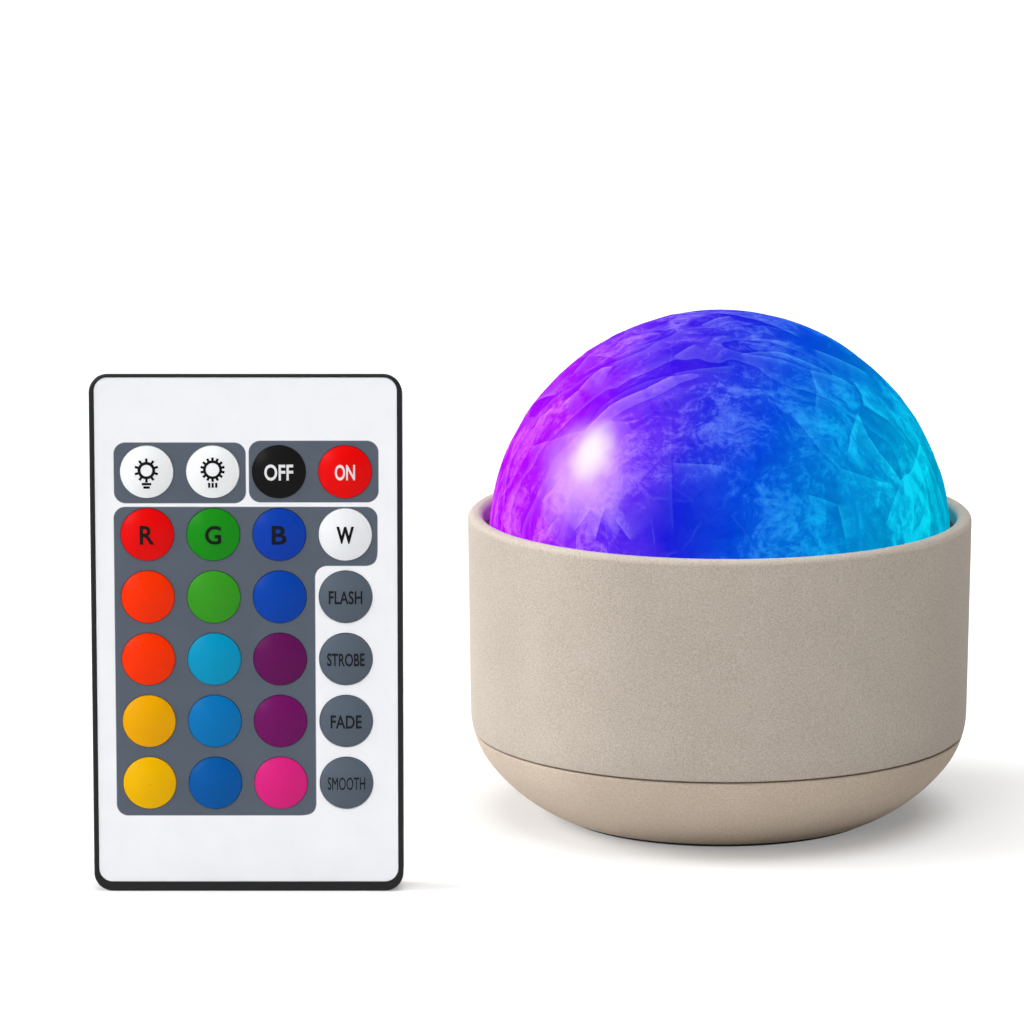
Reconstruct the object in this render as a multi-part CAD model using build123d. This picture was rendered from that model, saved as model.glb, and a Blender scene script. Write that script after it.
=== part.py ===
from build123d import *
import math
import os

# Northern lights projector with its card remote, in millimetres.
# The base stands on z = 0 around the Z axis. The remote stands on its lower edge, in front of the base
# on its left, and faces -Y. The power socket is at the rear, +Y.

# Base: outside shape
base_diameter = 90.0
wall = 2.7
wall_draft = 0.5
rim_round = 1.1
corner_start = 19.1
corner_radius = 15.3
corner_turn = 37.6
foot_inset = 15.4
foot_lift = 0.8

# Base: seam between housing and bowl
seam_height = 15.2
seam_gap = 0.3
seam_bevel = 0.25
lip_height = 3.0
lip_root = 2.5
lip_wall = 1.2
lip_gap = 0.15

# Base: foot pad, screws and posts
pad_margin = 1.5
pad_recess = 0.8
pad_gap = 0.1
post_inset = 6.0
post_radius = 3.5
post_count = 3
boss_height = 1.5
base_screw_radius = 1.25
base_screw_head_radius = 2.6
base_screw_head_height = 1.3
base_screw_grip = 9.0

# Deck and its ledge in the housing
deck_thickness = 2.4
deck_gap = 0.3
ledge_width = 5.0
ledge_thickness = 2.4
deck_screw_count = 3
deck_screw_angle = 30.0

# Dome and the ring that holds it
rim_gap = 0.9
dome_sink = 5.35
dome_skirt = 3.9
dome_wall = 1.2
flange_thickness = 1.6
flange_gap = 0.2
ring_height = 4.5
ring_gap = 0.1
nib_count = 3
nib_angle = 90.0
nib_width = 8.0
nib_depth = 0.6
nib_height = 1.2
nib_clearance = 0.2

# Crinkles of the dome's inside and of the ripple cup
crinkle_depth = 0.6
crinkle_rings = 6
crinkle_segments = 18
golden_step = 0.618034

# Ripple cup and its gear
cup_gap = 0.6
cup_wall = 1.0
cup_floor = 1.2
wheel_teeth = 48
pinion_teeth = 12
gear_thickness = 3.9
gear_backlash = 0.16
pressure_angle = 20.0
wheel_addendum = 0.75
wheel_dedendum = 1.25
pinion_addendum = 1.0
pinion_dedendum = 1.0
wheel_rim = 4.8
spin_gap = 0.08
land_width = 2.5
land_height = 0.6
lift_gap = 0.1
collar_wall = 1.5
peg_radius = 0.9
peg_count = 3
peg_angle = 0.0
clip_thickness = 0.6
clip_reach = 1.0
clip_groove = 0.7
clip_gap = 0.05
clip_opening = 16.0

# Gear motor under the deck
motor_radius = 6.0
motor_margin = 1.3
motor_length = 12.0
gearbox_length = 9.0
motor_boss_radius = 3.0
shaft_radius = 1.0
shaft_depth = 5.0
ear_spread = 8.5
ear_radius = 2.6
ear_thickness = 1.6
terminal_length = 2.5
terminal_width = 1.6
terminal_thickness = 0.5

# Lamp board in the collar
lamp_board_thickness = 1.6
lamp_board_gap = 0.4
lamp_screw_count = 2
lamp_screw_angle = 0.0
lamp_count = 4
lamp_angle = 45.0
lamp_gap = 2.5
lamp_size = 5.0
lamp_height = 1.2
lens_radius = 2.0
receiver_width = 5.0
receiver_depth = 3.6
receiver_height = 7.0

# Control board in the bowl
control_inset = 14.0
control_thickness = 1.6
standoff_height = 6.0
standoff_radius = 2.5
standoff_inset = 5.0
standoff_count = 3
chip_size = 8.0
chip_height = 1.8
capacitor_radius = 3.5
capacitor_height = 8.0
plug_width = 8.0
plug_depth = 4.0
plug_height = 6.0
component_gap = 2.0

# Leads between the boards, the motor and the socket
lead_radius = 0.6
lead_space = 2.0
lead_bend = 1.5
lead_room = 3.75
lead_slot_gap = 0.5
socket_lead_spread = 5.0

# Small screws for the deck, the motor and both boards
small_screw_radius = 0.95
small_head_radius = 1.9
small_head_height = 1.2
small_screw_grip = 3.5
screw_gap = 0.06

# Power socket in the rear wall
recess_width = 12.8
recess_height = 7.2
recess_round = 1.6
socket_depth = 8.0
nose_width = 9.0
nose_height = 3.3
nose_length = 0.5
mouth_wall = 0.35
mouth_depth = 6.5
tongue_width = 6.7
tongue_height = 0.7
tongue_length = 4.5
socket_seat = 1.9
socket_border = 1.5

# Remote: outline and place
key_diameter = 9.0
key_space_x = 2.21
key_space_y = 1.82
side_margin = 5.2
top_margin = 12.4
bottom_margin = 14.55
top_slope = 12.0
case_corner = 3.2
case_round = 0.8
rim_side = 0.9
rim_top = 0.7
rim_bottom = 1.7
remote_gap = 10.7
remote_forward = 53.0

# Remote: layers from the back
back_wall = 0.9
slide_gap = 0.1
tray_floor = 0.3
cell_thickness = 2.5
cell_diameter = 20.0
contact_thickness = 0.2
remote_board_thickness = 0.8
snap_height = 0.2
snap_radius = 2.5
key_travel = 0.35
key_play = 0.05
key_nib_length = 0.3
key_nib_radius = 1.5
key_flange_thickness = 0.4
key_flange_reach = 0.5
key_hole_gap = 0.1
key_edge = 0.15
key_crown = 0.9
plate_thickness = 0.6
plate_recess = 0.1
plate_ledge = 1.0
fit_gap = 0.1

# Remote: battery tray, emitter and hollow
tray_side = 2.0
tray_end = 3.0
grip_width = 10.0
grip_depth = 0.8
contact_width = 3.0
contact_length = 10.0
emitter_radius = 1.5
emitter_length = 6.0
hollow_margin = 3.0

key_names = (
    ("brighter", "dimmer", "off", "on"),
    ("red", "green", "blue", "white"),
    ("scarlet", "leaf_green", "royal_blue", "flash"),
    ("vermilion", "turquoise", "plum", "strobe"),
    ("amber", "sky_blue", "purple", "fade"),
    ("yellow", "azure", "pink", "smooth"),
)

# Places that follow from the sizes above: base
base_radius = base_diameter / 2
shell_bore = base_radius - wall
foot_radius = base_radius - foot_inset
floor_top = foot_lift + wall
pad_radius = foot_radius - pad_margin
pad_top = foot_lift + pad_recess
post_ring = pad_radius - post_inset
boss_top = floor_top + boss_height
base_screw_seat = pad_top + base_screw_head_height + pad_gap
bore_corner = corner_radius - wall + wall_draft
seam_drop = max(0, corner_start - seam_height)
lip_bore = shell_bore - bore_corner + math.sqrt(bore_corner ** 2 - seam_drop ** 2)
lip_outer = lip_bore - lip_gap
lip_inner = lip_outer - lip_wall
post_angle = -90.0
standoff_angle = post_angle + 180.0 / post_count

# Heights that follow, from the floor up to the rim: control board, leads, motor, deck and dome
control_bottom = floor_top + standoff_height
control_top = control_bottom + control_thickness
plug_floor = control_top + plug_height / 3
lead_level = control_top + plug_height + lead_room
motor_low = lead_level + terminal_length / 2
motor_high = motor_low + motor_length
deck_bottom = motor_high + gearbox_length
deck_top = deck_bottom + deck_thickness
dome_centre = deck_top + dome_skirt
rim_height = dome_centre + dome_sink

# Places that follow: dome, deck and ledge
dome_radius = shell_bore - rim_gap
deck_radius = shell_bore - deck_gap
ledge_inner = shell_bore - ledge_width
deck_screw_ring = (ledge_inner + deck_radius) / 2
dome_inner = dome_radius - dome_wall
facet_dip = 1 - math.cos(math.radians(0.6 * 360 / crinkle_segments))
skirt_inner = dome_inner - crinkle_depth
flange_top = deck_top + flange_thickness
flange_radius = shell_bore - flange_gap
ring_inner = dome_radius + ring_gap
ring_outer = shell_bore - ring_gap
ring_top = flange_top + ring_height

# Places that follow: gears and cup
gear_distance = ledge_inner - motor_margin - motor_radius
gear_module = 2 * gear_distance / (wheel_teeth + pinion_teeth)
wheel_root = gear_module * (wheel_teeth / 2 - wheel_dedendum)
wheel_bore = wheel_root - wheel_rim
collar_outer = wheel_bore - spin_gap
collar_inner = collar_outer - collar_wall
land_top = deck_top + land_height
wheel_low = land_top + lift_gap
wheel_high = wheel_low + gear_thickness
clip_low = wheel_high + lift_gap
clip_high = clip_low + clip_thickness
clip_inner = collar_outer - clip_groove
collar_top = clip_high + collar_wall / 2
clip_outer = collar_outer + clip_reach
cup_opening = clip_outer + deck_gap
peg_ring = (cup_opening + wheel_root) / 2
cup_radius = dome_inner * (1 - facet_dip) - crinkle_depth - cup_gap
cup_inner = cup_radius * (1 - facet_dip) - crinkle_depth - cup_wall
cup_top_of_floor = wheel_high + cup_floor
pinion_low = wheel_low + lift_gap
pinion_high = wheel_high - deck_gap

# Places that follow: boards and socket
lamp_board_top = deck_top + lamp_board_thickness
lamp_board_radius = collar_inner - lamp_board_gap
lamp_screw_ring = lamp_board_radius - 2 * small_head_radius
lamp_ring = (receiver_width + lamp_size) / 2 + lamp_gap
control_radius = base_radius - control_inset
standoff_ring = control_radius - standoff_inset
plug_place = (chip_size + plug_depth) / 2 + component_gap
capacitor_place = chip_size / 2 + capacitor_radius + component_gap
terminal_side = 0.6 * motor_radius
socket_width = recess_width + 2 * socket_border
socket_height = recess_height + 2 * socket_border
socket_centre = seam_height + lip_height + socket_height / 2 + deck_gap
socket_seat_y = shell_bore - socket_seat

# Places that follow: remote
columns = len(key_names[0])
rows = len(key_names)
key_radius = key_diameter / 2
key_pitch_x = key_diameter + key_space_x
key_pitch_y = key_diameter + key_space_y
remote_width = (columns - 1) * key_pitch_x + key_diameter + 2 * side_margin
remote_height = (rows - 1) * key_pitch_y + key_diameter + top_margin + bottom_margin
key_left = -(columns - 1) * key_pitch_x / 2
key_top = remote_height - top_margin - key_radius
plate_width = remote_width - 2 * rim_side
plate_height = remote_height - rim_top - rim_bottom
plate_middle = rim_bottom + plate_height / 2
plate_corner = case_corner - rim_side
pocket_width = plate_width - 2 * plate_ledge
pocket_height = plate_height - 2 * plate_ledge
pocket_low = rim_bottom + plate_ledge
pocket_high = pocket_low + pocket_height
pocket_corner = plate_corner - plate_ledge
tray_width = cell_diameter + 2 * tray_side
tray_length = pocket_low + cell_diameter + tray_end
tray_low = back_wall + slide_gap
tray_high = tray_low + tray_floor + cell_thickness
cell_place = pocket_low + cell_diameter / 2
board_low = tray_high + slide_gap + contact_thickness
board_high = board_low + remote_board_thickness
snap_high = board_high + snap_height
key_nib_low = snap_high + key_play + key_travel
key_flange_low = key_nib_low + key_nib_length
key_flange_high = key_flange_low + key_flange_thickness
plate_low = key_flange_high + key_play
plate_high = plate_low + plate_thickness
case_front = plate_high + plate_recess
emitter_level = (board_low + board_high) / 2
emitter_rise = case_front - emitter_level + emitter_radius
emitter_recess = emitter_rise * math.tan(math.radians(top_slope)) + fit_gap
remote_place = Plane(
    origin=(-(base_radius + remote_gap + remote_width / 2), -remote_forward, 0),
    x_dir=(1, 0, 0),
    z_dir=(0, -1, 0),
)


# Helpers

def disc(radius, low, high):
    """Upright cylinder on the Z axis between two heights."""
    on_floor = (Align.CENTER, Align.CENTER, Align.MIN)
    return Pos(0, 0, low) * Cylinder(radius, high - low, align=on_floor)


def tube(outer, inner, low, high):
    """Upright ring on the Z axis between two heights."""
    return disc(outer, low, high) - disc(inner, low, high)


def block(width, depth, low, high):
    """Upright box centred on the Z axis between two heights."""
    on_floor = (Align.CENTER, Align.CENTER, Align.MIN)
    return Pos(0, 0, low) * Box(width, depth, high - low, align=on_floor)


def rounded_slab(width, height, corner, middle, low, high):
    """Flat slab with rounded corners, as used by every layer of the remote."""
    outline = Pos(0, middle, low) * RectangleRounded(width, height, corner)
    return extrude(outline, high - low)


def around(piece, radius, count, start):
    """Copies of a piece spaced evenly on a circle."""
    return [place * piece for place in PolarLocations(radius, count, start)]


def screw(radius, length, head_radius, head_height):
    """Cross-head screw, seat of the head at the origin and shank downwards."""
    body = disc(head_radius, 0, head_height) + disc(radius, -length, 0)
    cross = block(1.2 * head_radius, 0.3 * head_radius, head_height / 2, head_height)
    return body - cross - Rot(0, 0, 90) * cross


def bowl_solid(inset, top):
    """Solid inside the base's outer surface, or set in from it. The outside has draft, the bore has none."""
    radius = base_radius - inset
    draft = wall_draft * (1 - inset / wall)
    side = Line((radius, top), (radius - draft, corner_start))
    corner = JernArc(side @ 1, side % 1, corner_radius - inset + wall_draft - draft, -corner_turn)
    sweep_in = TangentArc(corner @ 1, (foot_radius, foot_lift + inset), tangent=corner % 1)
    rest = Polyline((foot_radius, foot_lift + inset), (0, foot_lift + inset), (0, top), (radius, top))
    outline = make_face([side, corner, sweep_in, *rest.edges()])
    return revolve(Plane.XZ * outline, Axis.Z)


def crinkle_point(ring, segment, radius, centre, low):
    """Corner of a crinkled ball. Golden steps spread the dents evenly without a pattern."""
    dent = crinkle_depth * ((ring * crinkle_segments + segment) * golden_step % 1)
    reach = radius - dent
    start = math.asin((low - centre) / reach)
    rise = start + (math.pi / 2 - start) * ring / crinkle_rings
    turn = 2 * math.pi * (segment + ring / 2) / crinkle_segments
    return (
        reach * math.cos(rise) * math.cos(turn),
        reach * math.cos(rise) * math.sin(turn),
        centre + reach * math.sin(rise),
    )


def crinkled_ball(radius, centre, low):
    """Upper part of a ball made of flat facets, closed by a flat face at its lowest height."""
    def corner(ring, segment):
        return crinkle_point(ring, segment % crinkle_segments, radius, centre, low)

    apex = (0, 0, centre + radius - crinkle_depth / 2)
    triangles = []
    for ring in range(crinkle_rings - 1):
        for segment in range(crinkle_segments):
            a, b = corner(ring, segment), corner(ring, segment + 1)
            c, d = corner(ring + 1, segment), corner(ring + 1, segment + 1)
            triangles += [(a, b, c), (b, d, c)]
    for segment in range(crinkle_segments):
        last = crinkle_rings - 1
        triangles.append((corner(last, segment), corner(last, segment + 1), apex))
    floor = [corner(0, segment) for segment in range(crinkle_segments)]
    faces = [Face(Wire.make_polygon(points)) for points in [*triangles, floor]]
    return Solid(Shell(faces))


def gear_outline(teeth, addendum, dedendum, turn):
    """Involute gear as a closed outline, one tooth centred on the turn angle."""
    pitch = gear_module * teeth / 2
    base = pitch * math.cos(math.radians(pressure_angle))
    tip = pitch + addendum * gear_module
    root = pitch - dedendum * gear_module
    start = max(base, root)
    slope = math.tan(math.radians(pressure_angle)) - math.radians(pressure_angle)
    half_tooth = math.pi / (2 * teeth) - gear_backlash / (4 * pitch)

    def half_width(radius):
        angle = math.acos(min(1, base / radius))
        return half_tooth + slope - (math.tan(angle) - angle)

    flank = [start + (tip - start) * step / 3 for step in range(4)]
    points = []
    for tooth in range(teeth):
        middle = math.radians(turn) + 2 * math.pi * tooth / teeth
        side = [(radius, half_width(radius)) for radius in flank]
        if root < start:
            side.insert(0, (root, half_width(start)))
        for radius, width in side:
            points.append((radius * math.cos(middle - width), radius * math.sin(middle - width)))
        for radius, width in reversed(side):
            points.append((radius * math.cos(middle + width), radius * math.sin(middle + width)))
    return make_face(Polyline(*points, close=True))


# Base of the projector

def housing_shell():
    """Upper cup: straight wall, rounded rim, ledge for the deck, seat and hole for the power socket."""
    seam = seam_height + seam_gap / 2
    shell = bowl_solid(0, rim_height) - bowl_solid(wall, rim_height + wall)
    shell &= disc(base_diameter, seam, rim_height + wall)
    rim = shell.edges().filter_by(GeomType.CIRCLE).group_by(Axis.Z)[-1]
    shell = fillet(rim, min(rim_round, 0.45 * wall))
    shell = chamfer(shell.edges().group_by(Axis.Z)[0].sort_by(SortBy.LENGTH)[-1], seam_bevel)
    shell += housing_ledge()
    through_wall = wall + socket_seat
    seat = socket_place() * extrude(Rectangle(socket_width, socket_height), through_wall)
    shell += seat & bowl_solid(wall / 2, rim_height)
    recess = RectangleRounded(recess_width, recess_height, recess_round)
    shell -= socket_place() * extrude(recess, 2 * through_wall)
    slot = nib(nib_clearance)
    shell -= around(slot, shell_bore, nib_count, nib_angle)
    pilot = disc(small_screw_radius + screw_gap, deck_bottom - small_screw_grip - deck_gap, deck_top)
    return shell - around(pilot, deck_screw_ring, deck_screw_count, deck_screw_angle)


def housing_ledge():
    """Ring inside the housing with a sloped underside. It carries the deck."""
    into_wall = shell_bore + wall / 2
    slope_end = deck_bottom - ledge_thickness - ledge_width - wall / 2
    outline = Polyline(
        (into_wall, deck_bottom),
        (ledge_inner, deck_bottom),
        (ledge_inner, deck_bottom - ledge_thickness),
        (into_wall, slope_end),
        close=True,
    )
    return revolve(Plane.XZ * make_face(outline), Axis.Z)


def nib(clearance):
    """Snap nib of the dome ring, or its slot in the housing when it is given a clearance."""
    depth = 2 * (nib_depth + clearance)
    level = flange_top + ring_height / 2
    return Pos(0, 0, level) * Box(depth, nib_width + 2 * clearance, nib_height + 2 * clearance)


def bottom_bowl():
    """Lower bowl: curved wall, lip inside the housing, screw bosses, standoffs and foot pad recess."""
    seam = seam_height - seam_gap / 2
    bowl = bowl_solid(0, rim_height) - bowl_solid(wall, rim_height + wall)
    bowl &= disc(base_diameter, 0, seam)
    outer_edge = bowl.edges().group_by(Axis.Z)[-1].sort_by(SortBy.LENGTH)[-1]
    bowl = chamfer(outer_edge, seam_bevel)
    inside = bowl_solid(wall / 2, rim_height)
    bowl += tube(lip_outer, lip_inner, seam_height - lip_root, seam_height + lip_height)
    bowl += tube(base_radius, lip_inner, seam_height - lip_root, seam - seam_bevel) & inside
    bosses = around(disc(post_radius + wall / 2, foot_lift, boss_top), post_ring, post_count, post_angle)
    standoffs = around(
        disc(standoff_radius, foot_lift, control_bottom), standoff_ring, standoff_count, standoff_angle
    )
    for piece in bosses + standoffs:
        bowl += piece & inside
    bowl -= disc(pad_radius + pad_gap, 0, pad_top)
    hole = disc(base_screw_radius + pad_gap, foot_lift, boss_top)
    hole += disc(base_screw_head_radius + pad_gap, foot_lift, base_screw_seat)
    bowl -= around(hole, post_ring, post_count, post_angle)
    pilot = disc(small_screw_radius + screw_gap, control_bottom - small_screw_grip - deck_gap, control_top)
    return bowl - around(pilot, standoff_ring, standoff_count, standoff_angle)


def foot_pad():
    """Rubber disc the projector stands on. It covers the base screws."""
    pad = disc(pad_radius, 0, pad_top)
    return chamfer(pad.edges().group_by(Axis.Z)[0], foot_lift / 4)


def base_screws():
    """Screws that pull the bowl up to the deck's posts."""
    piece = screw(base_screw_radius, boss_top - base_screw_seat + base_screw_grip, base_screw_head_radius,
                  base_screw_head_height)
    upright = Pos(0, 0, base_screw_seat) * Rot(180, 0, 0) * piece
    return Compound(around(upright, post_ring, post_count, post_angle))


# Deck and dome

def deck():
    """Plate on the housing's ledge: bearing collar for the gear, motor holes and posts down to the bowl."""
    body = disc(deck_radius, deck_bottom, deck_top)
    body += tube(collar_outer, collar_inner, deck_top, collar_top)
    body += tube(wheel_bore + land_width, collar_inner, deck_top, land_top)
    for post in around(disc(post_radius, boss_top, deck_top), post_ring, post_count, post_angle):
        body += post
    body -= tube(clip_outer, clip_inner - clip_gap, clip_low - clip_gap, clip_high + clip_gap)
    pilot = disc(base_screw_radius + screw_gap, boss_top, boss_top + base_screw_grip + deck_gap)
    body -= around(pilot, post_ring, post_count, post_angle)
    body -= Pos(gear_distance, 0, 0) * disc(motor_boss_radius + pad_gap, deck_bottom, deck_top)
    body -= motor_screw_places(sunk_hole())
    body -= around(sunk_hole(), deck_screw_ring, deck_screw_count, deck_screw_angle)
    lamp_pilot = disc(small_screw_radius + screw_gap, deck_bottom, deck_top)
    body -= around(lamp_pilot, lamp_screw_ring, lamp_screw_count, lamp_screw_angle)
    slot = SlotOverall(2 * (lead_space + lead_radius + lead_slot_gap), 2 * (lead_radius + lead_slot_gap))
    return body - extrude(Pos(0, -plug_place, deck_bottom) * slot, deck_thickness)


def sunk_hole():
    """Hole through the deck with a step that takes a small screw's head flush."""
    hole = disc(small_screw_radius + screw_gap, deck_bottom, deck_top)
    return hole + disc(small_head_radius + screw_gap, deck_top - small_head_height, deck_top)


def motor_screw_places(piece):
    """The two places of the motor's screws, either side of its shaft."""
    return [Pos(gear_distance, side * ear_spread, 0) * piece for side in (-1, 1)]


def sunk_screw(length):
    """Small screw with its head flush in the deck's top."""
    piece = screw(small_screw_radius, length, small_head_radius, small_head_height)
    return Pos(0, 0, deck_top - small_head_height) * piece


def deck_screws():
    """Screws that hold the deck on the ledge."""
    length = deck_thickness - small_head_height + small_screw_grip
    return Compound(around(sunk_screw(length), deck_screw_ring, deck_screw_count, deck_screw_angle))


def outer_dome():
    """Dome with a smooth outside and a crinkled inside, on a short skirt with a flange."""
    ball = Pos(0, 0, dome_centre) * Sphere(dome_radius)
    dome = ball & disc(base_diameter, dome_centre, dome_centre + base_diameter)
    dome += disc(dome_radius, deck_top, dome_centre)
    dome += disc(flange_radius, deck_top, flange_top)
    dome -= crinkled_ball(dome_inner, dome_centre, dome_centre)
    return dome - disc(skirt_inner, deck_top, dome_centre + dome_wall)


def dome_ring():
    """Dark ring in the gap around the dome. Its nibs snap into the housing and hold the flange down."""
    ring = tube(ring_outer, ring_inner, flange_top, ring_top)
    for piece in around(nib(0), ring_outer, nib_count, nib_angle):
        ring += piece - disc(ring_outer - ring_gap, deck_top, rim_height)
    return ring


# Turning ripple cup and its drive

def drive_gear():
    """Large gear that turns on the deck's collar. Its pegs locate the ripple cup."""
    outline = gear_outline(wheel_teeth, wheel_addendum, wheel_dedendum, 0)
    gear = extrude(Pos(0, 0, wheel_low) * outline, gear_thickness)
    gear -= disc(wheel_bore, wheel_low, wheel_high)
    peg = disc(peg_radius, wheel_high - cup_floor, cup_top_of_floor)
    for piece in around(peg, peg_ring, peg_count, peg_angle):
        gear += piece
    return gear


def ripple_cup():
    """Faceted cup that turns under the dome and breaks the light into ripples."""
    cup = crinkled_ball(cup_radius, dome_centre, wheel_high)
    hollow = Pos(0, 0, dome_centre) * Sphere(cup_inner)
    cup -= hollow & disc(base_diameter, cup_top_of_floor, rim_height + base_diameter)
    cup -= disc(cup_opening, wheel_high - cup_floor, cup_top_of_floor)
    peg_hole = disc(peg_radius + spin_gap, wheel_high, cup_top_of_floor)
    return cup - around(peg_hole, peg_ring, peg_count, peg_angle)


def gear_clip():
    """Open spring ring in the collar's groove. It keeps the gear from lifting."""
    ring = tube(clip_outer, clip_inner, clip_low, clip_high)
    return ring - Pos(-collar_outer, 0, 0) * block(collar_outer, clip_opening, clip_low, clip_high)


def pinion():
    """Small gear on the motor shaft. A gap faces the large gear's tooth at rest."""
    turn = 180 + 180 / pinion_teeth
    outline = gear_outline(pinion_teeth, pinion_addendum, pinion_dedendum, turn)
    gear = extrude(Pos(0, 0, pinion_low) * outline, pinion_high - pinion_low)
    gear -= disc(shaft_radius + screw_gap / 3, pinion_low, pinion_high)
    return Pos(gear_distance, 0, 0) * gear


def motor_shaft():
    """Steel shaft from the gearbox up through the deck into the pinion."""
    return Pos(gear_distance, 0, 0) * disc(shaft_radius, deck_bottom - shaft_depth, pinion_high)


def gearbox():
    """Round gearbox under the deck, with two screw ears and a boss in the deck's hole."""
    box = disc(motor_radius, motor_high, deck_bottom)
    box += disc(motor_boss_radius, deck_bottom - ear_thickness, deck_top - screw_gap)
    ears = Pos(0, 0, deck_bottom - ear_thickness) * Rot(0, 0, 90) * SlotOverall(
        2 * (ear_spread + ear_radius), 2 * ear_radius)
    box += extrude(ears, ear_thickness)
    box -= disc(shaft_radius + screw_gap, deck_bottom - shaft_depth - screw_gap, deck_top)
    box = Pos(gear_distance, 0, 0) * box
    return box - motor_screw_places(disc(small_screw_radius + screw_gap, motor_high, deck_bottom))


def motor_can():
    """Motor body under the gearbox, with a bearing end and two terminals."""
    can = disc(motor_radius - screw_gap, motor_low, motor_high)
    can = chamfer(can.edges().group_by(Axis.Z)[0], motor_radius / 10)
    can += disc(motor_radius / 2.5, motor_low - lead_radius / 2, motor_low)
    for side in (-1, 1):
        can += Pos(0, side * terminal_side, 0) * block(
            terminal_width, terminal_thickness, motor_low - terminal_length, motor_low)
    return Pos(gear_distance, 0, 0) * can


def motor_screws():
    """Screws through the deck into the gearbox ears."""
    length = deck_thickness - small_head_height + ear_thickness
    return Compound(motor_screw_places(sunk_screw(length)))


# Boards and socket

def lamp_board():
    """Round board under the cup's middle that carries the lamps and the infrared receiver."""
    board = disc(lamp_board_radius, deck_top, lamp_board_top)
    hole = disc(small_screw_radius + pad_gap, deck_top, lamp_board_top)
    return board - around(hole, lamp_screw_ring, lamp_screw_count, lamp_screw_angle)


def lamp_board_screws():
    """Pan-head screws that hold the lamp board on the deck."""
    piece = screw(small_screw_radius, lamp_board_thickness + deck_thickness, small_head_radius,
                  small_head_height)
    seated = Pos(0, 0, lamp_board_top) * piece
    return Compound(around(seated, lamp_screw_ring, lamp_screw_count, lamp_screw_angle))


def lamps():
    """Light-emitting packages with small round lenses."""
    body = block(lamp_size, lamp_size, lamp_board_top, lamp_board_top + lamp_height)
    lens = Pos(0, 0, lamp_board_top + lamp_height) * Sphere(lens_radius)
    body += lens & disc(lamp_size, lamp_board_top + lamp_height / 2, lamp_board_top + lamp_size)
    return Compound(around(body, lamp_ring, lamp_count, lamp_angle))


def ir_receiver():
    """Small block between the lamps. Its round eye looks out through the front of the dome."""
    body = block(receiver_width, receiver_depth, lamp_board_top, lamp_board_top + receiver_height)
    eye = Pos(0, -receiver_depth / 2, lamp_board_top + receiver_height / 2) * Sphere(receiver_width / 3)
    return body + eye


def control_board():
    """Round board on the bowl's standoffs, with openings for the deck's posts."""
    board = disc(control_radius, control_bottom, control_top)
    post_hole = disc(post_radius + deck_gap, control_bottom, control_top)
    board -= around(post_hole, post_ring, post_count, post_angle)
    hole = disc(small_screw_radius + pad_gap, control_bottom, control_top)
    return board - around(hole, standoff_ring, standoff_count, standoff_angle)


def control_screws():
    """Pan-head screws that hold the control board on the standoffs."""
    piece = screw(small_screw_radius, control_thickness + small_screw_grip, small_head_radius,
                  small_head_height)
    return Compound(around(Pos(0, 0, control_top) * piece, standoff_ring, standoff_count, standoff_angle))


def board_components():
    """Controller chip in the middle, a capacitor and two lead plugs around it."""
    chip = block(chip_size, chip_size, control_top, control_top + chip_height)
    can = disc(capacitor_radius, control_top, control_top + capacitor_height)
    can = fillet(can.edges().group_by(Axis.Z)[-1], capacitor_radius / 6)
    plug = block(plug_width, plug_depth, control_top, control_top + plug_height)
    plug -= block(plug_width * 0.8, plug_depth * 0.6, plug_floor, control_top + plug_height)
    return Compound([
        chip,
        Pos(-capacitor_place, 0, 0) * can,
        Pos(0, plug_place, 0) * plug,
        Pos(0, -plug_place, 0) * plug,
    ])


def lead(*points):
    """One insulated lead that starts upwards or sideways and bends round each corner."""
    route = FilletPolyline(*points, radius=lead_bend)
    return sweep(Plane(origin=points[0], z_dir=route % 0) * Circle(lead_radius), path=route)


def lamp_leads():
    """Leads from the front plug straight up through the deck to the lamp board."""
    straight = disc(lead_radius, plug_floor, deck_top)
    return Compound([Pos(side * lead_space, -plug_place, 0) * straight for side in (-1, 0, 1)])


def motor_leads():
    """Leads from the rear plug to the motor's terminals."""
    end = gear_distance - terminal_width / 2
    wires = []
    for side in (-1, 1):
        start = side * lead_space
        across = side * terminal_side
        wires.append(lead((start, plug_place, plug_floor), (start, plug_place, lead_level),
                          (start, across, lead_level), (end, across, lead_level)))
    return Compound(wires)


def socket_leads():
    """Leads from the back of the power socket down to the control board."""
    back = socket_seat_y - socket_depth
    wires = []
    for side in (-socket_lead_spread, socket_lead_spread):
        wires.append(lead((side, back, socket_centre), (side, standoff_ring, socket_centre),
                          (side, standoff_ring, control_top)))
    return Compound(wires)


def socket_place():
    """Frame on the socket's seat in the rear wall, Z pointing out of the wall."""
    return Plane(origin=(0, socket_seat_y, socket_centre), x_dir=(1, 0, 0), z_dir=(0, 1, 0))


def power_socket():
    """Power inlet with a rounded mouth and a contact tongue. It closes the wall recess from inside."""
    body = extrude(RectangleRounded(socket_width, socket_height, recess_round), -socket_depth)
    body += extrude(SlotOverall(nose_width, nose_height), nose_length)
    mouth = SlotOverall(nose_width - 2 * mouth_wall, nose_height - 2 * mouth_wall)
    body -= extrude(Pos(0, 0, nose_length) * mouth, -mouth_depth)
    low = nose_length - mouth_depth
    body += block(tongue_width, tongue_height, low, low + tongue_length)
    return socket_place() * body


# Remote

def key_spot(row, column):
    """Centre of one key in the remote's own frame."""
    return Pos(key_left + column * key_pitch_x, key_top - row * key_pitch_y, 0)


def all_keys(piece):
    """Copies of a piece on every key's centre."""
    return [key_spot(row, column) * piece for row in range(rows) for column in range(columns)]


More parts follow.
